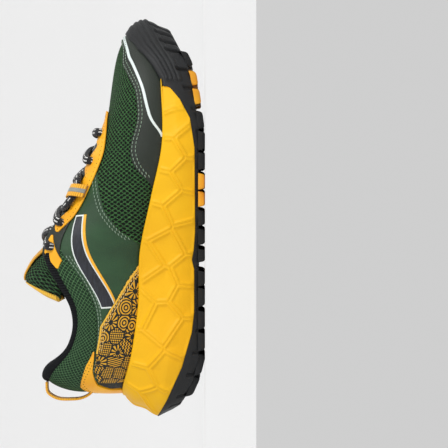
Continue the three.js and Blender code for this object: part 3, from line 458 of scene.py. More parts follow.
def panel(name, a, b, low, high, inner, outer, material, slot, replaced=(), rows=24, perStation=26, extra=None,
          ringed=False, edge=0.6):
    # Panel of the upper: station runs from a to b, and height from the low to the high edge line
    us, endLifts = edgedRows(max(8, int((b - a) * perStation)), abs(b - a) * 38, edge)
    shares, rowLifts = edgedRows(rows, 45, edge)
    u = a + (b - a) * us[:, None] + 0 * shares[None]
    h = low(u) + (high(u) - low(u)) * shares[None]
    lift = np.minimum(endLifts[:, None], rowLifts[None])
    swell = 0 if extra is None else extra(u, h)
    front = layer(u, h, inner + (outer - inner + swell) * lift)
    back = layer(u, h, inner + 0 * u)
    points, quads = sandwich(front, back)
    uv = np.concatenate([ringUv(u, h).reshape(-1, 2)] * 2) if ringed else wrapUv(points)
    return place(meshObject(name, points, quads, uv, material), slot, replaced)


def bothSides(name, a, b, low, high, *rest, **options):
    # The same panel on the outer side and, with its stations mirrored, on the inner side
    panel(f"{name}_lateral", a, b, low, high, *rest, replaced=[f"{name}_lateral"], **options)
    panel(f"{name}_medial", stations - b, stations - a, lambda u: low(stations - u), lambda u: high(stations - u),
          *rest, replaced=[f"{name}_medial"], **options)


def level(h):
    # The same height all along
    return lambda u: h + 0 * u


def stitchRow(name, centres, directions, normals, material, slot, length=2.2, radius=0.36, rise=0.3):
    # Short lozenge for each stitch: six sides, three rings, long way on the seam
    count = len(centres)
    along = unit(directions)
    across = unit(np.cross(normals, along))
    up = unit(np.cross(along, across))
    rings = np.array([(-0.5, 0.35), (-0.28, 1.0), (0.28, 1.0), (0.5, 0.35)])
    angles = np.arange(6) * math.pi / 3
    ringPoints = (
        centres[:, None, None] + along[:, None, None] * (rings[:, 0] * length)[None, :, None, None]
        + (across[:, None, None] * np.cos(angles)[None, None, :, None]
           + up[:, None, None] * np.sin(angles)[None, None, :, None] * 0.8)
        * (radius * rings[:, 1])[None, :, None, None]
        + up[:, None, None] * rise
    )
    points = ringPoints.reshape(-1, 3)
    quads = []
    for r in range(3):
        for k in range(6):
            j = (k + 1) % 6
            quads.append([r * 6 + k, r * 6 + j, (r + 1) * 6 + j, (r + 1) * 6 + k])
    for base, order in ((0, (0, 3, 2, 1)), (0, (0, 5, 4, 3)), (18, (0, 1, 2, 3)), (18, (0, 3, 4, 5))):
        quads.append([base + k for k in order])
    quads = (np.array(quads)[None] + np.arange(count)[:, None, None] * 24).reshape(-1, 4)
    return place(meshObject(name, points, quads, points[:, :2], material), slot)


def seamOn(name, stationsAt, heightOf, offset, pitch, material, slot="dark_synthetic", shift=0.0, **stitch):
    # Row of stitches on the upper along a height line; shift moves the row up the ribs in mm
    u = np.linspace(stationsAt[0], stationsAt[1], 900)
    h = heightOf(u) + shift / ribHeight
    walked = walkedAlong(layer(u, h, offset + 0 * u))
    marks = np.arange(pitch, walked[-1] - pitch / 2, pitch)
    where = np.interp(marks, walked, u)
    height = np.interp(marks, walked, h)
    centres = layer(where, height, offset + 0 * where)
    ahead = layer(where + 0.01, np.interp(marks + 0.3, walked, h), offset + 0 * where)
    return stitchRow(name, centres, ahead - centres, skinNormal(where, height), material, slot, **stitch)


# Sole

soleSizes = {
    "lugDepth": 4.4, "rim": 2.6, "bevel": 4.0, "ridgeHeight": 1.3, "ridgeHalf": 2.1, "tilt": 0.07,
    "heelRoll": 1.8, "gapAcross": 4.4, "lugsAcross": 4,
}
bumperStart = 7.05
bumperLine = line([(6.9, 0), (7.15, 0.01), (7.5, 0.1), (8, 0.25), (8.5, 0.31), (9, 0.32), (9.5, 0.31),
                   (10, 0.25), (10.5, 0.1), (10.85, 0.01), (11.1, 0)])


def spine(u):
    # Middle line of the sole in plan
    side = np.minimum(u, stations - u)
    return around(np.concatenate([spineLine, spineLine[-2:0:-1]]), side)


def inwards(u):
    # Level direction from the widest line to the middle line
    return unit(spine(u) - around(widest, u))


def shiftIn(u, distance, rise=0.0):
    # Move towards the middle line by a distance, and upwards by rise
    return np.concatenate([inwards(u) * np.reshape(distance, (-1, 1)), np.full((len(u), 1), rise)], -1)


def raised(plan, z):
    # Points in plan, given their heights
    return np.concatenate([plan, z[:, None]], -1)


def rimOf(u, out, rise):
    # Top edge of the sole: the skin's foot moved out and up
    foot = skin(u, 0)
    point = foot.copy()
    point[..., :2] -= inwards(u) * out
    point[..., 2] += rise
    return point


def wall(u, z, top, toe):
    # Side of the sole at height z: the widest line in the middle, drawn in towards the tread and the top
    outer = around(widest, u)
    middle = widestAt(outer[..., 0])
    bottom = groundAt(outer[..., 0]) + soleSizes["lugDepth"]
    under = np.clip((middle - z) / np.maximum(1, middle - bottom), 0, 1)**2 * soleSizes["bevel"]
    over = np.clip((z - middle) / np.maximum(1, top[..., 2] - middle), 0, 1)**np.where(toe, 2.2, 1.35)
    plan = outer + inwards(u) * under[..., None]
    plan = plan + (top[..., :2] - outer) * over[..., None]
    return np.concatenate([plan, np.broadcast_to(z, plan.shape[:-1])[..., None]], -1)


def ringPiece(name, levels, material, slot, replaced):
    # Closed ring of levels, the first and last on the middle line
    grid = np.stack(levels, 1)
    quads = gridQuads(grid.shape[0], grid.shape[1], closed=True)
    return place(meshObject(name, grid, quads, grid.reshape(-1, 3)[:, :2], material), slot, replaced)


def soleStations(perStation):
    # Stations round the sole, which of them the toe bumper covers, their distance from the heel, and the rim
    u = np.arange(stations * perStation) / perStation
    toe = (u > bumperStart) & (u < stations - bumperStart)
    return u, toe, around(widest, u)[:, 0], rimOf(u, soleSizes["rim"], 0.2)


def cellRidges(s, z, seeds, perimeter):
    # Raised double line along the borders of the cells nearest each seed, from the two smallest distances
    wrapped = np.concatenate([seeds, seeds + [perimeter, 0], seeds - [perimeter, 0]])
    flat = np.stack([s.ravel(), z.ravel()], -1)
    out, tilted = np.empty(len(flat)), np.empty(len(flat))
    tilts = np.tile(np.random.default_rng(4).uniform(-1, 1, seeds.shape), (3, 1)) * soleSizes["tilt"]
    for start in range(0, len(flat), 20000):
        part = flat[start:start + 20000]
        d = np.linalg.norm(part[:, None] - wrapped[None], axis=-1)
        order = np.argsort(d, axis=1)[:, :2]
        rows = np.arange(len(part))
        first, second = d[rows, order[:, 0]], d[rows, order[:, 1]]
        apart = np.linalg.norm(wrapped[order[:, 0]] - wrapped[order[:, 1]], axis=1)
        out[start:start + 20000] = (second**2 - first**2) / (2 * np.maximum(apart, 1e-6))
        nearest = order[:, 0]
        tilted[start:start + 20000] = (tilts[nearest] * (part - wrapped[nearest])).sum(1)
    border = out.reshape(s.shape)
    half = soleSizes["ridgeHalf"]
    band = 1 / (1 + np.exp((border - half) / 0.28))
    groove = np.exp(-(border / 0.75)**2)
    facet = (tilted.reshape(s.shape) - 0.3) * np.clip((border - half) / 5, 0, 1)
    return soleSizes["ridgeHeight"] * (band - 0.8 * groove) + facet


def foamCells(walkedAt):
    # Cell centres on the outer side, heel to toe: distance from the heel and height, in mm
    outer = [(6, 52), (12, 37), (24, 50), (33, 27), (50, 50), (62, 13), (74, 31), (83, 50), (90, 13), (101, 33),
             (110, 12), (117, 44), (128, 27), (136, 12), (148, 38), (157, 18), (172, 31), (183, 12), (197, 26),
             (206, 11), (221, 24), (240, 27)]
    distances = np.array([walkedAt(x) for x, _ in outer])
    seeds = np.array([(d, z) for d, (_, z) in zip(distances, outer)])
    far = np.array([(-d + 7, z) for d, (_, z) in zip(distances, outer)])
    return np.concatenate([seeds, far[2:]])


def midsole():
    # Rings from under the foam: seat, wall with its ridges, rounded lip, and the dished footbed to the middle
    u, toe, x, rim = soleStations(perStation=46)
    low = np.minimum(rubberAt(x) + 0.1, rim[:, 2] - 1)
    walked = walkedAlong(around(widest, u))
    perimeter = walked[-1] + np.linalg.norm(around(widest, u[-1:]) - around(widest, u[:1]))
    outerHalf = u <= stations / 2
    walkedAt = lambda place: np.interp(place, x[outerHalf], walked[outerHalf])
    seeds = foamCells(walkedAt)
    shares = np.linspace(0, 1, 64)
    z = low[:, None] + (rim[:, 2] - low)[:, None] * shares
    topRow = np.repeat(rim[:, None], len(shares), 1)
    faces = wall(u[:, None] + 0 * z, z, topRow, toe[:, None])
    ridge = cellRidges(np.repeat(walked[:, None], len(shares), 1), z, seeds, perimeter)
    heel = np.clip(1.3 - np.minimum(u, stations - u), 0, 1)[:, None]
    roll = soleSizes["heelRoll"] * (np.exp(-((z - 55) / 4.5) ** 2) - 0.6 * np.exp(-((z - 45) / 4) ** 2))
    ridge = ridge + heel * roll
    fade = np.clip(shares / 0.06, 0, 1) * np.clip((1 - shares) / 0.07, 0, 1)
    faces = faces + shiftIn(u, -1)[:, None] * (ridge * fade * ~toe[:, None])[..., None]
    faces[toe] = rimOf(u[toe], 0.6, 0)[:, None] * [1, 1, 0] + z[toe][..., None] * [0, 0, 1]
    rows = [faces[:, k] for k in range(len(shares))]
    lip = [rimOf(u, *step) for step in ((2.3, 0.75), (1.6, 1.15), (0.7, 1.1), (-0.4, 0.4), (-3.0, -1.5))]
    middle = spine(u)
    foot = footAt(middle[:, 0])
    dish = [rimOf(u, -4, -4) * (share, share, 0)
            + raised(middle * (1 - share), foot + (skin(u, 0)[:, 2] - 4 - foot) * share**4)
            for share in (0.9, 0.6, 0.3)]
    top = raised(middle, foot)
    under = raised(middle, groundAt(middle[:, 0]) + 6.9)
    ledge = rows[0] + shiftIn(u, 4.5, -0.3)
    # Further in and higher at the heel, where the rubber slopes under the foam
    atHeel = np.clip((34 - x) / 20, 0, 1)
    seat = rows[0] + shiftIn(u, 9 + 6 * atHeel)
    seat[:, 2] = np.minimum(seat[:, 2], groundAt(seat[:, 0]) + 7.2 + 7 * atHeel)
    levels = [under, seat, ledge] + rows + lip + dish + [top]
    return ringPiece("midsole", levels, "foam", "yellow_foam", ["midsole", "lasting_board"])


lugRows = [(24, 15), (41, 15), (58, 14), (74, 14), (91, 13), (105, 10.5), (122, 10), (136, 12.5), (150, 12),
           (164, 11.5), (177, 11), (192, 13), (207, 13), (222, 13), (240, 12), (254, 11), (269, 11)]
podRows = (164, 177, 240, 254)


def outsole():
    # Rings up the rubber: underside, wall with its slots and ribs, thin top edge, and back under the foam
    u, toe, x, rim = soleStations(perStation=40)
    bottom = groundAt(x) + soleSizes["lugDepth"]
    topZ = np.minimum(rubberAt(x), rim[:, 2] - 1)
    bumperTop = layer(u, bumperLine(u), 1.0 + 0 * u)
    sideTop = wall(u, topZ, rim, toe) + shiftIn(u, -0.25)
    top = np.where(toe[:, None], bumperTop, sideTop)
    shares = np.linspace(0, 1, 60)
    z = bottom[:, None] + 0.5 + (top[:, 2] - bottom - 0.5)[:, None] * shares
    reference = np.repeat(np.where(toe[:, None], bumperTop, rim)[:, None], len(shares), 1)
    faces = wall(u[:, None] + 0 * z, z, reference, toe[:, None])
    tall = np.clip((top[:, 2] - bottom) / 24, 0, 1)[:, None]
    # Slots in line with the gaps between lug rows, deeper and taller towards the heel and the toe
    rowPlaces = np.array([row for row, _ in lugRows], float)
    gaps = np.concatenate([[8, 16], (rowPlaces[1:] + rowPlaces[:-1]) / 2, [276, 283, 290, 296]])
    slot = np.exp(-(((x[:, None] - gaps[None]) / 1.1) ** 2) ** 2).sum(1)[:, None]
    slotTop = np.where(x < 90, 0.5, 0.42)[:, None]
    blocks = -slot * np.clip((slotTop - shares) / 0.06, 0, 1) * (1.2 + 1.6 * tall)
    ribbing = 1.3 * np.abs(np.sin(math.pi * 6.5 * shares))[None] ** 0.5 * tall * (shares > 0.3) + blocks
    fade = np.clip((1 - shares) / 0.08, 0, 1)
    relief = np.where(toe[:, None], ribbing, blocks)
    faces = faces + shiftIn(u, -1)[:, None] * (relief * fade + 0.25)[..., None]
    rows = [faces[:, k] for k in range(len(shares))]
    lip = np.where(toe[:, None], layer(u, bumperLine(u), 0.35 + 0 * u), top + shiftIn(u, 1.6, -0.2))
    middle = spine(u)
    plate = soleSizes["lugDepth"] + 2.0  # Top of the rubber under the foam
    shelf = rows[0] + shiftIn(u, 6)
    shelf[:, 2] = groundAt(shelf[:, 0]) + plate
    edge = rows[0] + shiftIn(u, 2.5)
    edge[:, 2] = groundAt(edge[:, 0]) + soleSizes["lugDepth"]
    under = raised(middle, groundAt(middle[:, 0]) + soleSizes["lugDepth"])
    over = raised(middle, groundAt(middle[:, 0]) + plate)
    return ringPiece("outsole", [under, edge] + rows + [lip, shelf, over], "rubber", "black_rubber", ["outsole"])


def treadEdges(x):
    # Outer and inner edges of the sole at distance x from the heel
    u = np.linspace(0, stations, 2000)
    plan = around(widest, u)
    outer, inner = u <= stations / 2, u >= stations / 2
    return np.interp(x, plan[outer, 0], plan[outer, 1]), np.interp(x, plan[inner, 0][::-1], plan[inner, 1][::-1])


def lugs(name, wanted, material, slot, replaced):
    # Each lug is a square grid, a by b: its height is 1 less the larger of |a| and |b| to the power 10
    size = 15
    t = np.sign(np.linspace(-1, 1, size)) * np.abs(np.linspace(-1, 1, size)) ** 0.7
    a, b = np.meshgrid(t, t, indexing="ij")
    points, quads = [], []
    cell = gridQuads(size, size)
    flat = np.arange(size * size).reshape(size, size)
    ring = np.concatenate([flat[0, :-1], flat[:-1, -1], flat[-1, :0:-1], flat[:0:-1, 0]])
    for x, depth in lugRows:
        if (x in podRows) != wanted:
            continue
        lows, highs = treadEdges(np.array([x - depth / 2, x + depth / 2]))
        inset = 0.3 if wanted else 1.6
        start, end = lows.max() + inset, highs.min() - inset
        gap, count = soleSizes["gapAcross"], soleSizes["lugsAcross"]
        wide = (end - start - (count - 1) * gap) / count
        for i in range(count):
            y = start + i * (wide + gap) + wide * (b + 1) / 2
            lean = 3 * (1 - np.abs(2 * (y - start) / (end - start) - 1))
            long = x + lean + a * depth / 2 * (1 - 0.12 * ((i + x) % 2) * b)
            form = np.clip(1 - np.maximum(np.abs(a), np.abs(b)) ** 10, 0, 1)
            slit = np.exp(-((b + 0.15 * (i % 2)) / 0.09) ** 2) * 0.45 * (np.abs(a) < 0.8)
            ground, root = groundAt(long), soleSizes["lugDepth"] + 0.4
            z = ground + root - root * form * (1 - slit)
            base = len(points) * size**2 * 2
            lid = np.stack([long, y, ground + soleSizes["lugDepth"] + 0.6], -1)
            points.append(np.concatenate([np.stack([long, y, z], -1).reshape(-1, 3), lid.reshape(-1, 3)]))
            following = np.roll(ring, -1)
            strip = np.stack([ring, following, following + size**2, ring + size**2], -1)
            quads.append(np.concatenate([cell[:, ::-1], cell + size**2, strip[:, ::-1]]) + base)
    points = np.concatenate(points)
    return place(meshObject(name, points, np.concatenate(quads), points[:, :2], material), slot, replaced)


def sockliner():
    # Thin dished pad: its height rises with the fifth power of the share of the way out
    perStation = 20
    u = np.arange(stations * perStation) / perStation
    middle = spine(u)
    foot = footAt(middle[:, 0]) + 9.2

    def ringAt(share, rise):
        edge = rimOf(u, -3.0, 0)
        plan = middle * (1 - share) + edge[:, :2] * share
        return raised(plan, foot + (edge[:, 2] + 1.5 - foot) * share**5 * 0.75 + rise)

    tops = [ringAt(share, 0) for share in (0.2, 0.4, 0.6, 0.75, 0.86, 0.94, 0.985)]
    lower = [ringAt(1.0, -0.8), ringAt(0.99, -2.4), ringAt(0.6, -3.0), ringAt(0.2, -3.0)]
    levels = [ringAt(0, -3.0)] + lower[::-1] + tops[::-1] + [ringAt(0, 0)]
    return ringPiece("sockliner", levels, "sock", "ochre_fabric", ["sockliner"])


midsole()
outsole()
lugs("tread_lugs", False, "rubber", "black_rubber", [])
lugs("outsole_pods", True, "yellowRubber", "yellow_rubber", ["outsole_pod_forefoot", "outsole_pod_midfoot"])
sockliner()
print("sole made")


# Upper

offsets = {"meshIn": -2.4, "mesh": -1.0, "overlay": -0.1, "trim": 0.75}
vampTop = [(4.12, 0.03), (4.35, 0.25), (4.8, 0.5), (5.3, 0.68), (5.65, 0.8), (6.2, 0.9), (6.3, 1)]
collarLow = [(0, 0.36), (1, 0.42), (2, 0.51), (3, 0.6), (3.6, 0.66), (3.95, 0.76), (4.1, 0.82)]
mudguardTop = [(5.2, 0.0), (5.5, 0.24), (5.75, 0.36), (6, 0.41), (6.25, 0.37), (6.5, 0.33), (7, 0.35),
               (7.5, 0.46), (8, 0.53), (8.5, 0.44), (9, 0.42), (9.5, 0.4), (10, 0.57), (10.3, 0.55),
               (10.6, 0.47), (11, 0.4), (11.5, 0.31), (12, 0.29), (12.5, 0.26), (13, 0.16), (13.3, 0.0)]
pipingLine = [(6.15, 0.0), (6.4, 0.16), (6.7, 0.21), (7, 0.24), (7.5, 0.33), (8, 0.4), (8.5, 0.38), (9, 0.345),
              (9.5, 0.325), (10, 0.33), (10.5, 0.3), (11, 0.25), (11.4, 0.2)]
printTop = [(0.8, 0.15), (1.05, 0.3), (1.5, 0.43), (2, 0.5), (2.6, 0.52), (2.93, 0.4), (3.3, 0.22), (3.78, 0.0)]
heelLow = [(0, 0.012), (0.68, 0.012), (0.78, 0.17), (1.02, 0.325), (1.5, 0.455), (2, 0.525)]
heelHigh = [(0, 0.37), (0.4, 0.42), (1, 0.56), (1.3, 0.57), (1.6, 0.565), (2, 0.54)]
stayLow = [(4.42, 0.9), (4.62, 0.8), (5, 0.755), (5.5, 0.74), (6, 0.74), (6.5, 0.8), (7, 0.87), (8, 0.935),
           (9, 0.95), (10, 0.935), (11, 0.87), (11.5, 0.8), (12, 0.74), (12.5, 0.74), (13, 0.755), (13.38, 0.8),
           (13.58, 0.9)]
eyelets = (6.55, 5.85, 5.2, 4.6, 4.12)
eyeletHeight = 0.9


def upperPanels():
    # Base layer and overlays, each between two edge lines
    vampHigh = vampTop + [(9, 1)] + mirrored(vampTop)
    panel("vamp_mesh", 4.0, 14.0, level(-0.01), smoothLine(vampHigh), offsets["meshIn"], offsets["mesh"] - 0.35,
          "mesh", "green_mesh", ["vamp_mesh"], rows=44, perStation=26)
    low = line([(0, -0.01), (4.1, -0.01)] + [(u, h - 0.035) for u, h in vampTop[1:-1]])
    high = line([(0, 0.6), (3.4, 0.8), (4.0, 1.005), (6.3, 1.005)])
    bothSides("quarter", 0.0, 6.3, low, high, offsets["meshIn"], offsets["mesh"], "green", "green_synthetic",
              rows=34)
    soft = smoothLine(roundHeel(collarLow))
    top = line(roundHeel([(0, 0.9), (3.2, 0.895), (3.8, 0.93), (4.1, 0.96)]))

    def puff(u, h):
        # Foam swells the collar between its two seams
        share = np.clip((h - soft(u)) / np.maximum(top(u) - soft(u), 0.01), 0, 1)
        return 2.0 * np.sin(math.pi * share) ** 0.7 * np.clip((4.1 - np.abs(u)) / 1.0, 0, 1)

    panel("collar_panel", -4.1, 4.1, soft, top, offsets["mesh"] - 0.6, offsets["mesh"] + 0.35, "jacquard",
          "green_jacquard", ["collar_panel"], rows=30, extra=puff, ringed=True)
    panel("mudguard", 5.15, 13.35, level(-0.01), smoothLine(mudguardTop), offsets["mesh"] - 0.6,
          offsets["overlay"], "dark", "dark_synthetic", ["mudguard"], rows=26)
    half = 1.15 / ribHeight
    mid = smoothLine(pipingLine)
    panel("reflective_piping", 6.12, 11.5, lambda u: mid(u) - half, lambda u: mid(u) + half,
          offsets["overlay"] - 0.3, offsets["overlay"] + 0.4, "reflective", "reflective", ["reflective_piping"],
          rows=5, perStation=40, edge=0.4)
    printEdge = line(printTop)
    bothSides("print_panel", 0.8, 3.8, level(-0.01), printEdge, offsets["mesh"] - 0.6, offsets["overlay"],
              "doodle", "printed_synthetic", rows=24, perStation=30, ringed=True)
    bothSides("print_piping", 1.95, 3.76, lambda u: printEdge(u) - 0.03, lambda u: printEdge(u) - 0.004,
              offsets["overlay"] - 0.2, offsets["overlay"] + 0.35, "tape", "yellow_piping", rows=5, perStation=40,
              edge=0.4)
    panel("heel_overlay", -2, 2, line(roundHeel(heelLow)), line(roundHeel(heelHigh)), offsets["mesh"] - 0.3,
          offsets["trim"], "yellow", "yellow_synthetic", ["heel_overlay"], rows=26, perStation=34, ringed=True)


def scallop(u):
    # The stay's inner edge is cut back between eyelets, so that the underlay shows
    centres = np.array([6.2, 5.53, 4.9, 4.36])
    side = np.minimum(u, stations - u)
    dips = np.exp(-((side[..., None] - centres) / 0.13) ** 2).sum(-1)
    return 0.985 - 0.085 * dips * (side < 6.45)


def throat():
    # Stay round the lacing, its underlays, and the patches at the top eyelets
    panel("lace_stay", 4.42, 13.58, smoothLine(stayLow), scallop, offsets["overlay"] - 0.2, offsets["trim"],
          "yellow", "yellow_synthetic", ["lace_stay"], rows=18, perStation=44)
    low = line([(3.9, 0.8), (6, 0.82), (7, 0.93), (8.6, 0.965)])
    bothSides("eyestay_underlay", 3.9, 8.6, low, level(1.03), offsets["mesh"] - 1.4, offsets["overlay"], "dark",
              "dark_synthetic", rows=14)
    # Four-cornered patch, so that both its edge lines start and end at a corner
    bothSides("top_eyelet_patch", 3.72, 4.36, line([(3.72, 0.865), (3.86, 0.787), (4.36, 0.935)]),
              line([(3.72, 0.88), (4.01, 0.99), (4.36, 0.955)]), offsets["overlay"] - 0.2, offsets["trim"],
              "yellow", "yellow_synthetic", rows=14, perStation=90)


def laceLoops():
    # Webbing band bent over in an arch on the stay, with a grey stripe down its middle
    for side, outer in (("lateral", True), ("medial", False)):
        s, t = np.meshgrid(np.linspace(-1, 1, 22), np.linspace(0, 1, 44), indexing="ij")
        rise = 6.2 * np.sin(math.pi * t) ** 0.8
        u, h = eyelets[2] + s * 0.115, 0.75 + 0.245 * t
        if not outer:
            u = stations - u
        face = lambda extra: layer(u, h, offsets["trim"] + 0.3 + rise + extra)
        rows = np.where(np.abs(s[:, 0]) < 0.4)[0]
        loop = [f"lace_loop_{side}"]
        for name, front, back, kept, weaveAcross, material, slot, replaced in (
                (f"lace_loop_{side}", 1.2, 0.0, slice(None), 4.4, "webbing", "yellow_webbing", loop),
                (f"loop_stripe_{side}", 1.32, 1.1, rows, 4, "greyStripe", "reflective", [])):
            points, quads = sandwich(face(front)[kept], face(back)[kept])
            uv = bothFaces(t[kept] * 18, s[kept] * weaveAcross)
            place(meshObject(name, points, quads if outer else quads[:, ::-1], uv, material), slot, replaced)


def sideMarks():
    # One straight tapered blade, a white border round it and a yellow shadow behind
    def blade(name, outer, grow, drop, low, high, material, replaced=()):
        s, t = np.meshgrid(np.linspace(-grow * 0.02, 1 + grow * 0.02, 90), np.linspace(-1, 1, 9), indexing="ij")
        u = 3.0 + 1.72 * s
        h = 0.42 + 0.3 * s + t * (0.085 - 0.05 * s + grow * 0.014) - drop
        if not outer:
            u = stations - u
        front, back = (layer(u, h, offsets["mesh"] + lift + 0 * u) for lift in (high, low))
        points, quads = sandwich(front, back)
        thing = meshObject(name, points, quads if outer else quads[:, ::-1], wrapUv(points), material)
        place(thing, "navy_film", replaced)

    for side, outer in (("lateral", True), ("medial", False)):
        blade(f"mark_shadow_{side}", outer, 1.0, 0.03, -0.1, 0.25, "yellowFilm")
        blade(f"mark_border_{side}", outer, 1.0, 0.0, 0.0, 0.45, "whiteFilm")
        blade(f"side_mark_{side}", outer, 0.0, 0.0, 0.0, 0.65, "navy", [f"side_mark_{side}"])


def collarLining():
    # Padded roll: the section runs up the outside, over the crest and down the inside to the footbed
    reach = 4.0
    u = np.linspace(-reach, reach, 220)[:, None]
    foam = line([(-4, 2.2), (-3.4, 3.4), (-2.8, 7), (-2, 9), (2, 9), (2.8, 7), (3.4, 3.4), (4, 2.2)])(u)
    path = [(0.86, -1.6, 0), (0.885, -0.3, 0.02), (0.91, 0.75, 0.04), (0.945, 1.1, 0.05), (0.985, 0.9, 0.08),
            (1.02, -0.2, 0.2), (1.042, -1.6, 0.5), (1.035, -2.6, 0.75), (1.0, -3, 0.92), (0.95, -3, 1.0),
            (0.88, -3, 1.02), (0.8, -3, 1.0), (0.7, -3, 0.88), (0.6, -3, 0.62), (0.5, -3, 0.34), (0.4, -3, 0.16),
            (0.28, -3, 0.05), (0.15, -3, 0.0), (0.02, -3, 0.0)]
    fine = np.linspace(0, len(path) - 1, 90)
    h, fixed, share = (np.interp(fine, range(len(path)), values)[None] for values in zip(*path))
    smooth = lambda row: np.convolve(np.pad(row[0], 3, mode="edge"), np.ones(7) / 7, "valid")[None]
    h, fixed, share = smooth(h), smooth(fixed), smooth(share)
    crease = 0.35 * np.sin(u * 9.0) * np.exp(-((h - 0.66) / 0.12) ** 2) * (foam > 5)
    front = layer(u + 0 * h, h + 0 * u, fixed - foam * share + crease)
    back = layer(u + 0 * h, np.minimum(h, 0.99) + 0 * u, -2.6 + 0 * (u + h))
    points, quads = sandwich(front, back)
    walked = fine / fine[-1] * 95
    uv = bothFaces(u * 36, walked[None])
    thing = meshObject("collar_lining", points, quads, uv, "lining")
    place(thing, "black_lining", ["collar_lining", "heel_counter", "toe_puff"])
    return thing


upperPanels()
throat()
laceLoops()
sideMarks()
collarLining()
print("upper made")


# Tongue

tongueSizes = {
    "crown": np.array([[234, 69.5], [210, 75.5], [188, 85.5], [164, 97.5], [147, 107.5], [130, 118], [118, 129],
                       [103, 138.5]], float),
    "half": [17, 24, 29, 31, 31, 30, 29, 28.5], "drop": [3, 4.5, 6, 7, 9, 15, 26, 35],
    "middle": [8, 7, 6, 6, 5.5, 5, 4.5, 4.5], "thick": [4, 5, 6, 6, 6.5, 8, 8, 5.5],
    "webbing": 17.5, "length": 170, "bendStart": (-16, 0, 108.5), "bendEnd": (-32, 0, 120.5),
}


def crownAt(share):
    # Smooth curve along the side-view line, and the direction into the shoe
    points = tongueSizes["crown"]
    last = len(points) - 1
    place = np.clip(np.asarray(share, float), 0, 1) * last
    i = np.minimum(np.floor(place).astype(int), last - 1)
    t = (place - i)[..., None]
    at = lambda k: points[np.clip(i + k, 0, last)]
    slopes = [-1 + 4 * t - 3 * t**2, -10 * t + 9 * t**2, 1 + 8 * t - 9 * t**2, 3 * t**2 - 2 * t]
    where = 0.5 * sum(w * at(k) for w, k in zip(cubicWeights(t), (-1, 0, 1, 2)))
    way = unit(0.5 * sum(w * at(k) for w, k in zip(slopes, (-1, 0, 1, 2))))
    under = np.stack([-way[..., 1], way[..., 0]], -1)
    under = np.where(under[..., 1:] > 0, -under, under)
    return where, under


def tongueList(name, share):
    # One of the tongue's lists, read at a share of its length
    values = tongueSizes[name]
    return np.interp(np.asarray(share, float) * (len(values) - 1), range(len(values)), values)


def tonguePoint(share, side, depth):
    # Section across the tongue: the angle is side times 75 degrees, its sine goes across and one less its cosine
    # goes down; depth is along the section's inward normal
    wrap = math.radians(75)
    share, side, depth = np.broadcast_arrays(share, side, depth)
    where, under = crownAt(share)
    half, drop = tongueList("half", share) / math.sin(wrap), tongueList("drop", share) / (1 - math.cos(wrap))
    angle = side * wrap
    across, down = half * np.cos(angle), drop * np.sin(angle)
    size = np.hypot(across, down)
    # Near its free edge the pad stays flat across the middle before its wings droop, and its tip curls down
    flat = 1 + 0.6 * np.clip((share - 0.78) / 0.15, 0, 1)
    curl = 3.6 * np.clip((share - 0.94) / 0.06, 0, 1) ** 2
    bow = (1 - np.cos(angle)) / (1 - math.cos(wrap))
    fall = drop * (1 - math.cos(wrap)) * bow**flat + curl + depth * across / size
    y = half * np.sin(angle) - depth * down / size + tongueList("middle", share)
    at = where + under * fall[..., None]
    return np.stack([at[..., 0], y, at[..., 1]], -1)


def tongueEnd(side):
    # Free edge, as a share of the tongue's length: full in the middle, drawn in at the drooping wings
    return 1.0 - 0.035 * np.abs(side) ** 3.5


def bendWithTip(thing):
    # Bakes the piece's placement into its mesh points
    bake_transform(thing)


def tubeCaps(count, sides, flip=False):
    # Four-sided faces that close both ends of a tube of rings, whose last point in each ring repeats the first
    caps = []
    for row in (0, count - 1):
        base = row * (sides + 1)
        for k in range(1, sides - 1, 2):
            order = [base, base + k, base + k + 1, base + min(k + 2, sides)]
            caps.append(order if (row == 0) != flip else order[::-1])
    return caps


def tonguePad():
    # Closed pad: rounded at its edges, with a quilted line near each
    m, n = 150, 90
    t = np.linspace(0, 1, m)[:, None]
    side = np.linspace(1, -1, n)[None]
    share = t * tongueEnd(side)
    rounding = np.clip(1 - np.abs(side) ** 8, 0, 1) ** 0.5 * np.clip((1 - t) / 0.03, 0, 1) ** 0.5
    thick = tongueList("thick", share)
    quilt = 1 - 0.35 * np.exp(-((np.abs(side) - 0.82) / 0.035) ** 2) * (t > 0.5)
    shoulder = thick / 2 * (1 - rounding * quilt)
    front = tonguePoint(share, side, shoulder)
    back = tonguePoint(share, side, thick - shoulder * 0.95 + 0.02)
    points, quads = sandwich(front, back)
    uv = bothFaces(share * tongueSizes["length"], side * tongueList("half", share))
    thing = meshObject("tongue", points, quads, uv, "tongueMesh")
    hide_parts("tongue", "tongue_top")
    bendWithTip(thing)


def tongueBinding():
    # Half-round tape over the free edge: a tube squashed along the tongue's thickness
    n, sides = 120, 14
    side = np.linspace(1, -1, n)[:, None]
    angle = np.linspace(0, 2 * math.pi, sides, endpoint=False)[None]
    end = tongueEnd(side)
    thick = tongueList("thick", end)
    taper = np.clip((1 - np.abs(side)) / 0.04, 0.15, 1)
    share = end + 2.6 / tongueSizes["length"] * np.cos(angle) * taper
    depth = thick / 2 + (thick / 2 + 0.5) * np.sin(angle) * taper
    points = tonguePoint(np.clip(share, 0, 1.04), side + 0 * share, depth)
    grid = np.concatenate([points, points[:, :1]], 1)
    quads = np.concatenate([gridQuads(n, sides + 1), tubeCaps(n, sides)])
    uv = np.stack([side * 34 + 0 * angle, angle * 3 + 0 * side], -1)
    uv = np.concatenate([uv, uv[:, -1:]], 1)
    thing = meshObject("tongue_binding", grid, quads, uv, "tape")
    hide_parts("tongue_binding")
    bendWithTip(thing)


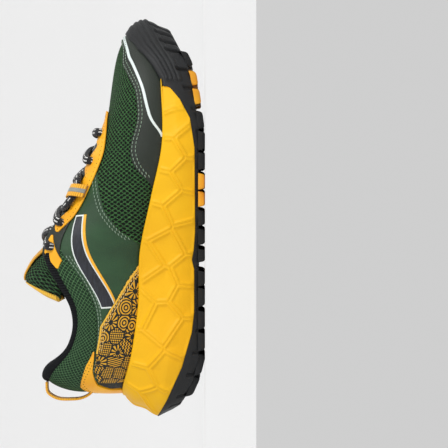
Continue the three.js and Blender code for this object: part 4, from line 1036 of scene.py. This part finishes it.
def tongueWebbing():
    # Strip down the middle: a raised keeper, then a dip under the crossing laces, then flat to the free edge
    m, n = 170, 14
    t = np.linspace(0.325, 0.985, m)[:, None]
    side = np.linspace(1, -1, n)[None] * tongueSizes["webbing"] / 2 / tongueList("half", t)
    keepers = 3.4 * np.exp(-((t - 0.405) / 0.06) ** 4) + 1.2 * np.exp(-((t - 0.76) / 0.17) ** 6)
    front = tonguePoint(t, side, -1.3 - keepers)
    back = tonguePoint(t, side, -0.1 - keepers)
    points, quads = sandwich(front, back)
    uv = bothFaces(t * tongueSizes["length"], side * tongueList("half", t))
    thing = meshObject("tongue_webbing", points, quads, uv, "webbing")
    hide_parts("tongue_webbing", "tongue_webbing_top")
    bendWithTip(thing)


tonguePad()
tongueBinding()
tongueWebbing()
print("tongue made")


# Lace and pull loop

laceSizes = {"width": 6.6, "thick": 4.8, "crossLift": 4.4, "overLift": 8.2}


def crownNear(x):
    # Point of the tongue's crown nearest to distance x from the heel
    shares = np.linspace(0, 1, 400)
    where, _ = crownAt(shares)
    i = int(np.argmin(np.abs(where[:, 0] - x)))
    return np.array([where[i, 0], tongueList("middle", shares[i]), where[i, 1]])


def laceHalf(outerFirst):
    # Way points by eyelet, each with its outward direction and its thickness there
    points = []
    lift = laceSizes["crossLift"] if outerFirst else laceSizes["overLift"]
    for i, eyelet in enumerate(eyelets):
        outer = outerFirst == (i % 2 == 0)
        station = lambda u: u if outer else stations - u
        put = lambda u, h, offset, thick=1.0: points.append(
            (layer(station(u), h, offset), skinNormal(station(u), h), thick))
        if i == 2:
            put(eyelet + 0.26, 0.93, 3.6)
            put(eyelet, 0.87, 3.6, 0.85)
            put(eyelet - 0.26, 0.93, 3.6)
        else:
            put(eyelet, eyeletHeight + 0.02, 3.2)
            put(eyelet, eyeletHeight - 0.005, 0.6, 0.8)
            put(eyelet, eyeletHeight, -2.0, 0.6)
        if i == len(eyelets) - 1:
            put(eyelet - 0.03, 0.86, -6.5, 0.7)
            put(eyelet - 0.1, 0.7, -8.5, 0.8)
            return points
        if i != 2:
            put(eyelet - 0.03, 0.96, -3.6, 0.5)
            put(eyelet - 0.08, 1.08, -2.2, 0.8)
        following = eyelets[i + 1]
        middle = (skin(station(eyelet), 1.0)[0] + skin(stations - station(following), 1.0)[0]) / 2
        points.append((crownNear(middle) + [0, 0, lift], np.array([0.5, 0, 0.87]), 1.0))
    return points


def lace():
    # Flattened tube along a smooth path: half the width across and half the thickness up
    first, second = laceHalf(True), laceHalf(False)
    bar = ((first[0][0] + second[0][0]) / 2 + [0, 0, 2.2], np.array([0.2, 0, 0.98]), 1.0)
    way = first[::-1] + [bar] + second
    knots = np.array([p for p, _, _ in way])
    ups = np.array([n for _, n, _ in way])
    thick = np.array([k for _, _, k in way])
    chord = np.concatenate([[0], np.cumsum(np.sqrt(np.linalg.norm(np.diff(knots, axis=0), axis=1)))])
    fine = np.linspace(0, chord[-1], 1500)
    path = hermite(chord, knots, fine)
    out = unit(np.stack([np.interp(fine, chord, ups[:, k]) for k in range(3)], -1))
    flat = np.interp(fine, chord, thick)
    walked = walkedAlong(path)
    even = np.linspace(0, walked[-1], 1400)
    pick = lambda values: np.stack([np.interp(even, walked, values[:, k]) for k in range(3)], -1)
    path, out, flat = pick(path), unit(pick(out)), np.interp(even, walked, flat)
    tangent = unit(np.gradient(path, axis=0))
    across = unit(np.cross(out, tangent))
    up = np.cross(tangent, across)
    sides = 20
    angle = np.linspace(0, 2 * math.pi, sides, endpoint=False)[None]
    half = laceSizes["width"] / 2 * (0.7 + 0.3 * flat)[:, None]
    deep = laceSizes["thick"] / 2 * flat[:, None]
    plait = 1 + 0.035 * np.sin(even[:, None] * 2.6 + 2 * angle)
    ring = path[:, None] + (across[:, None] * (np.cos(angle) * half * plait)[..., None]
                            + up[:, None] * (np.sin(angle) * deep * plait)[..., None])
    grid = np.concatenate([ring, ring[:, :1]], 1)
    quads = np.concatenate([gridQuads(len(even), sides + 1), tubeCaps(len(even), sides, flip=True)])
    width = np.cos(angle) * laceSizes["width"] / 2
    uv = np.stack([even[:, None] + 0 * angle, width + 0 * even[:, None]], -1)
    uv = np.concatenate([uv, uv[:, :1]], 1)
    thing = meshObject("lace", grid, quads, uv, "lace")
    place(thing, "black_lace", ["lace", "aglet_lateral", "aglet_medial"])
    return thing


def hermite(knots, values, places):
    # Smooth curve through values: cubic pieces whose slopes are those of the chords either side
    slopes = np.gradient(values, knots, axis=0)
    i = np.clip(np.searchsorted(knots, places, side="right") - 1, 0, len(knots) - 2)
    span = (knots[i + 1] - knots[i])[:, None]
    t = (places[:, None] - knots[i][:, None]) / span
    return ((2 * t**3 - 3 * t**2 + 1) * values[i] + (t**3 - 2 * t**2 + t) * span * slopes[i]
            + (-2 * t**3 + 3 * t**2) * values[i + 1] + (t**3 - t**2) * span * slopes[i + 1])


def pullLoop():
    # Webbing arch behind the heel, through points in side view
    near = layer(0.0, 0.72, 1.0)[0]
    knots = np.array([[4.5, 120], [-3.2, 119], [-7.4, 113], [-8.6, 102], [-7.2, 92], [-2.4, 85], [2.0, 83]])
    knots = knots + [near, 0]
    chord = walkedAlong(knots)
    walked = np.linspace(0, chord[-1], 90)
    path = hermite(chord, knots, walked)
    way = unit(np.gradient(path, axis=0))
    out = np.stack([way[:, 1], -way[:, 0]], -1)
    y = np.linspace(-8.5, 8.5, 14) + 3
    face = lambda extra: np.stack([
        np.repeat((path + out * extra)[:, :1], len(y), 1), np.repeat(y[None], len(path), 0),
        np.repeat((path + out * extra)[:, 1:], len(y), 1)], -1)
    points, quads = sandwich(face(-0.8), face(0.8))
    uv = bothFaces(walked[:, None], y[None])
    place(meshObject("heel_pull_loop", points, quads, uv, "webbing"), "yellow_webbing", ["heel_pull_loop"])


lace()
pullLoop()
print("lace and loop made")


# Stitches

def seams():
    # Two rows of thread on each seam, and punched holes along the stay and the heel cap
    guard = smoothLine(mudguardTop)
    for i, shift in enumerate((-1.6, -4.2)):
        seamOn(f"mudguard_stitch_{i}", (5.35, 13.2), guard, offsets["overlay"], 3.1, "paleThread", shift=shift)
    vampLow = smoothLine([(4.1, -0.02)] + [(u, h - 0.035) for u, h in vampTop[1:-1]])
    for i, shift in enumerate((1.6, 4.0)):
        for side, ends, at in (("lateral", (4.2, 5.9), vampLow),
                               ("medial", (12.1, 13.8), lambda u: vampLow(stations - u))):
            seamOn(f"quarter_stitch_{side}_{i}", ends, at, offsets["mesh"], 2.9, "paleThread", shift=shift)
    collar = smoothLine(roundHeel(collarLow))
    for i, shift in enumerate((-1.5, -3.8)):
        seamOn(f"collar_stitch_{i}", (-4.0, 4.0), collar, offsets["mesh"], 2.9, "paleThread", shift=shift)
    top = line(printTop)
    for side, ends, at in (("lateral", (2.0, 3.7), top), ("medial", (14.3, 16.0), lambda u: top(stations - u))):
        for i, shift in enumerate((-2.6, -4.6)):
            seamOn(f"print_stitch_{side}_{i}", ends, at, offsets["overlay"], 2.9, "yellowThread", shift=shift)
    stay = smoothLine(stayLow)
    seamOn("stay_perforation_outer", (4.4, 13.6), stay, offsets["trim"] - 0.25, 3.4, "perforation",
           slot="yellow_synthetic", shift=2.2, length=0.9, radius=0.5, rise=0.0)
    for side, ends in (("lateral", (4.4, 6.9)), ("medial", (11.1, 13.6))):
        seamOn(f"stay_perforation_inner_{side}", ends, scallop, offsets["trim"] - 0.25, 3.4, "perforation",
               slot="yellow_synthetic", shift=-2.0, length=0.9, radius=0.5, rise=0.0)
    high = line(roundHeel(heelHigh))
    for i, shift in enumerate((-2.0, -4.4)):
        seamOn(f"heel_perforation_{i}", (-1.85, 1.85), high, offsets["trim"] - 0.2, 3.0, "perforation",
               slot="yellow_synthetic", shift=shift, length=0.9, radius=0.5, rise=0.0)


seams()
print("stitches made")


# Studio

def studio():
    # Paper sheet, soft world, two suns and a camera
    world = bpy.data.worlds.new("softWorld")
    bpy.context.scene.world = world
    world.use_nodes = True
    background = world.node_tree.nodes["Background"]
    background.inputs[0].default_value = linearOf("#f2f2f2")
    background.inputs[1].default_value = 0.7
    # One sheet: level floor in front, then a quarter circle up to an upright wall behind
    radius, back, front, rise, half = 700.0, 2600.0, -9000.0, 9000.0, 9000.0
    bend = np.linspace(0, math.pi / 2, 24)
    curve = np.stack([back + radius * np.sin(bend), radius - radius * np.cos(bend)], -1)
    profile = np.concatenate([[[front, 0]], curve, [[back + radius, rise]]])
    x = np.array([-half, half]) + heelToMiddle
    grid = np.stack([np.repeat(x[:, None], len(profile), 1), np.repeat(profile[None, :, 0], 2, 0),
                     np.repeat(profile[None, :, 1], 2, 0) - 0.05], -1)
    # Seamless paper: matt and even, faint fibre
    def paper(add, uv, u, v, where):
        # Even paper, a little darker up the wall, which gets more of the light
        away = add("Math SUBTRACT", add("SeparateXYZ", where, out=1), 2.3)
        tone = add("ValToRGB", away, stops=[(0.0, "#eeeeee"), (0.8, "#dadada")])
        return tone, add("TexNoise", where, Scale=400.0)

    finishes["paper"] = newMaterial("seamlessPaper", 1.0, paper, 0.02, Specular_IOR_Level=0.0)
    floor = meshObject("studio_floor", grid, gridQuads(2, len(profile)), grid.reshape(-1, 3)[:, :2], "paper")
    # Soft suns: the floor and the wall get the same light where the rise equals the way forward
    suns = {"key": ((1.1, -0.8, 0.8), 0.5, 1.7), "fill": ((-0.6, -1.0, 0.8), 1.2, 0.5)}
    for name, (spot, angle, power) in suns.items():
        data = bpy.data.lights.new(name, "SUN")
        data.angle = angle
        data.energy = power
        light = bpy.data.objects.new(name, data)
        light.rotation_euler = Vector(spot).to_track_quat("Z", "Y").to_euler()
        bpy.context.scene.collection.objects.link(light)
    # Side view with the toe up: the camera looks along +Y and its top points along +X
    cameraSizes = {"distance": 2.0, "height": 0.002, "frame": 0.34, "shift": 0.0486, "x": -0.0044}
    data = bpy.data.cameras.new("camera")
    data.sensor_width = 36
    data.lens = 36 * cameraSizes["distance"] / cameraSizes["frame"]
    data.shift_x = cameraSizes["shift"]
    data.clip_end = 50
    camera = bpy.data.objects.new("camera", data)
    right, up, behind = Vector((0, 0, -1)), Vector((1, 0, 0)), Vector((0, -1, 0))
    turn = Matrix((right, up, behind)).transposed().to_4x4()
    viewpoint = (cameraSizes["x"], -cameraSizes["distance"], cameraSizes["height"])
    camera.matrix_world = Matrix.Translation(viewpoint) @ turn
    bpy.context.scene.collection.objects.link(camera)
    bpy.context.scene.camera = camera
    bpy.context.scene.view_settings.view_transform = "Standard"


studio()
print("studio made")
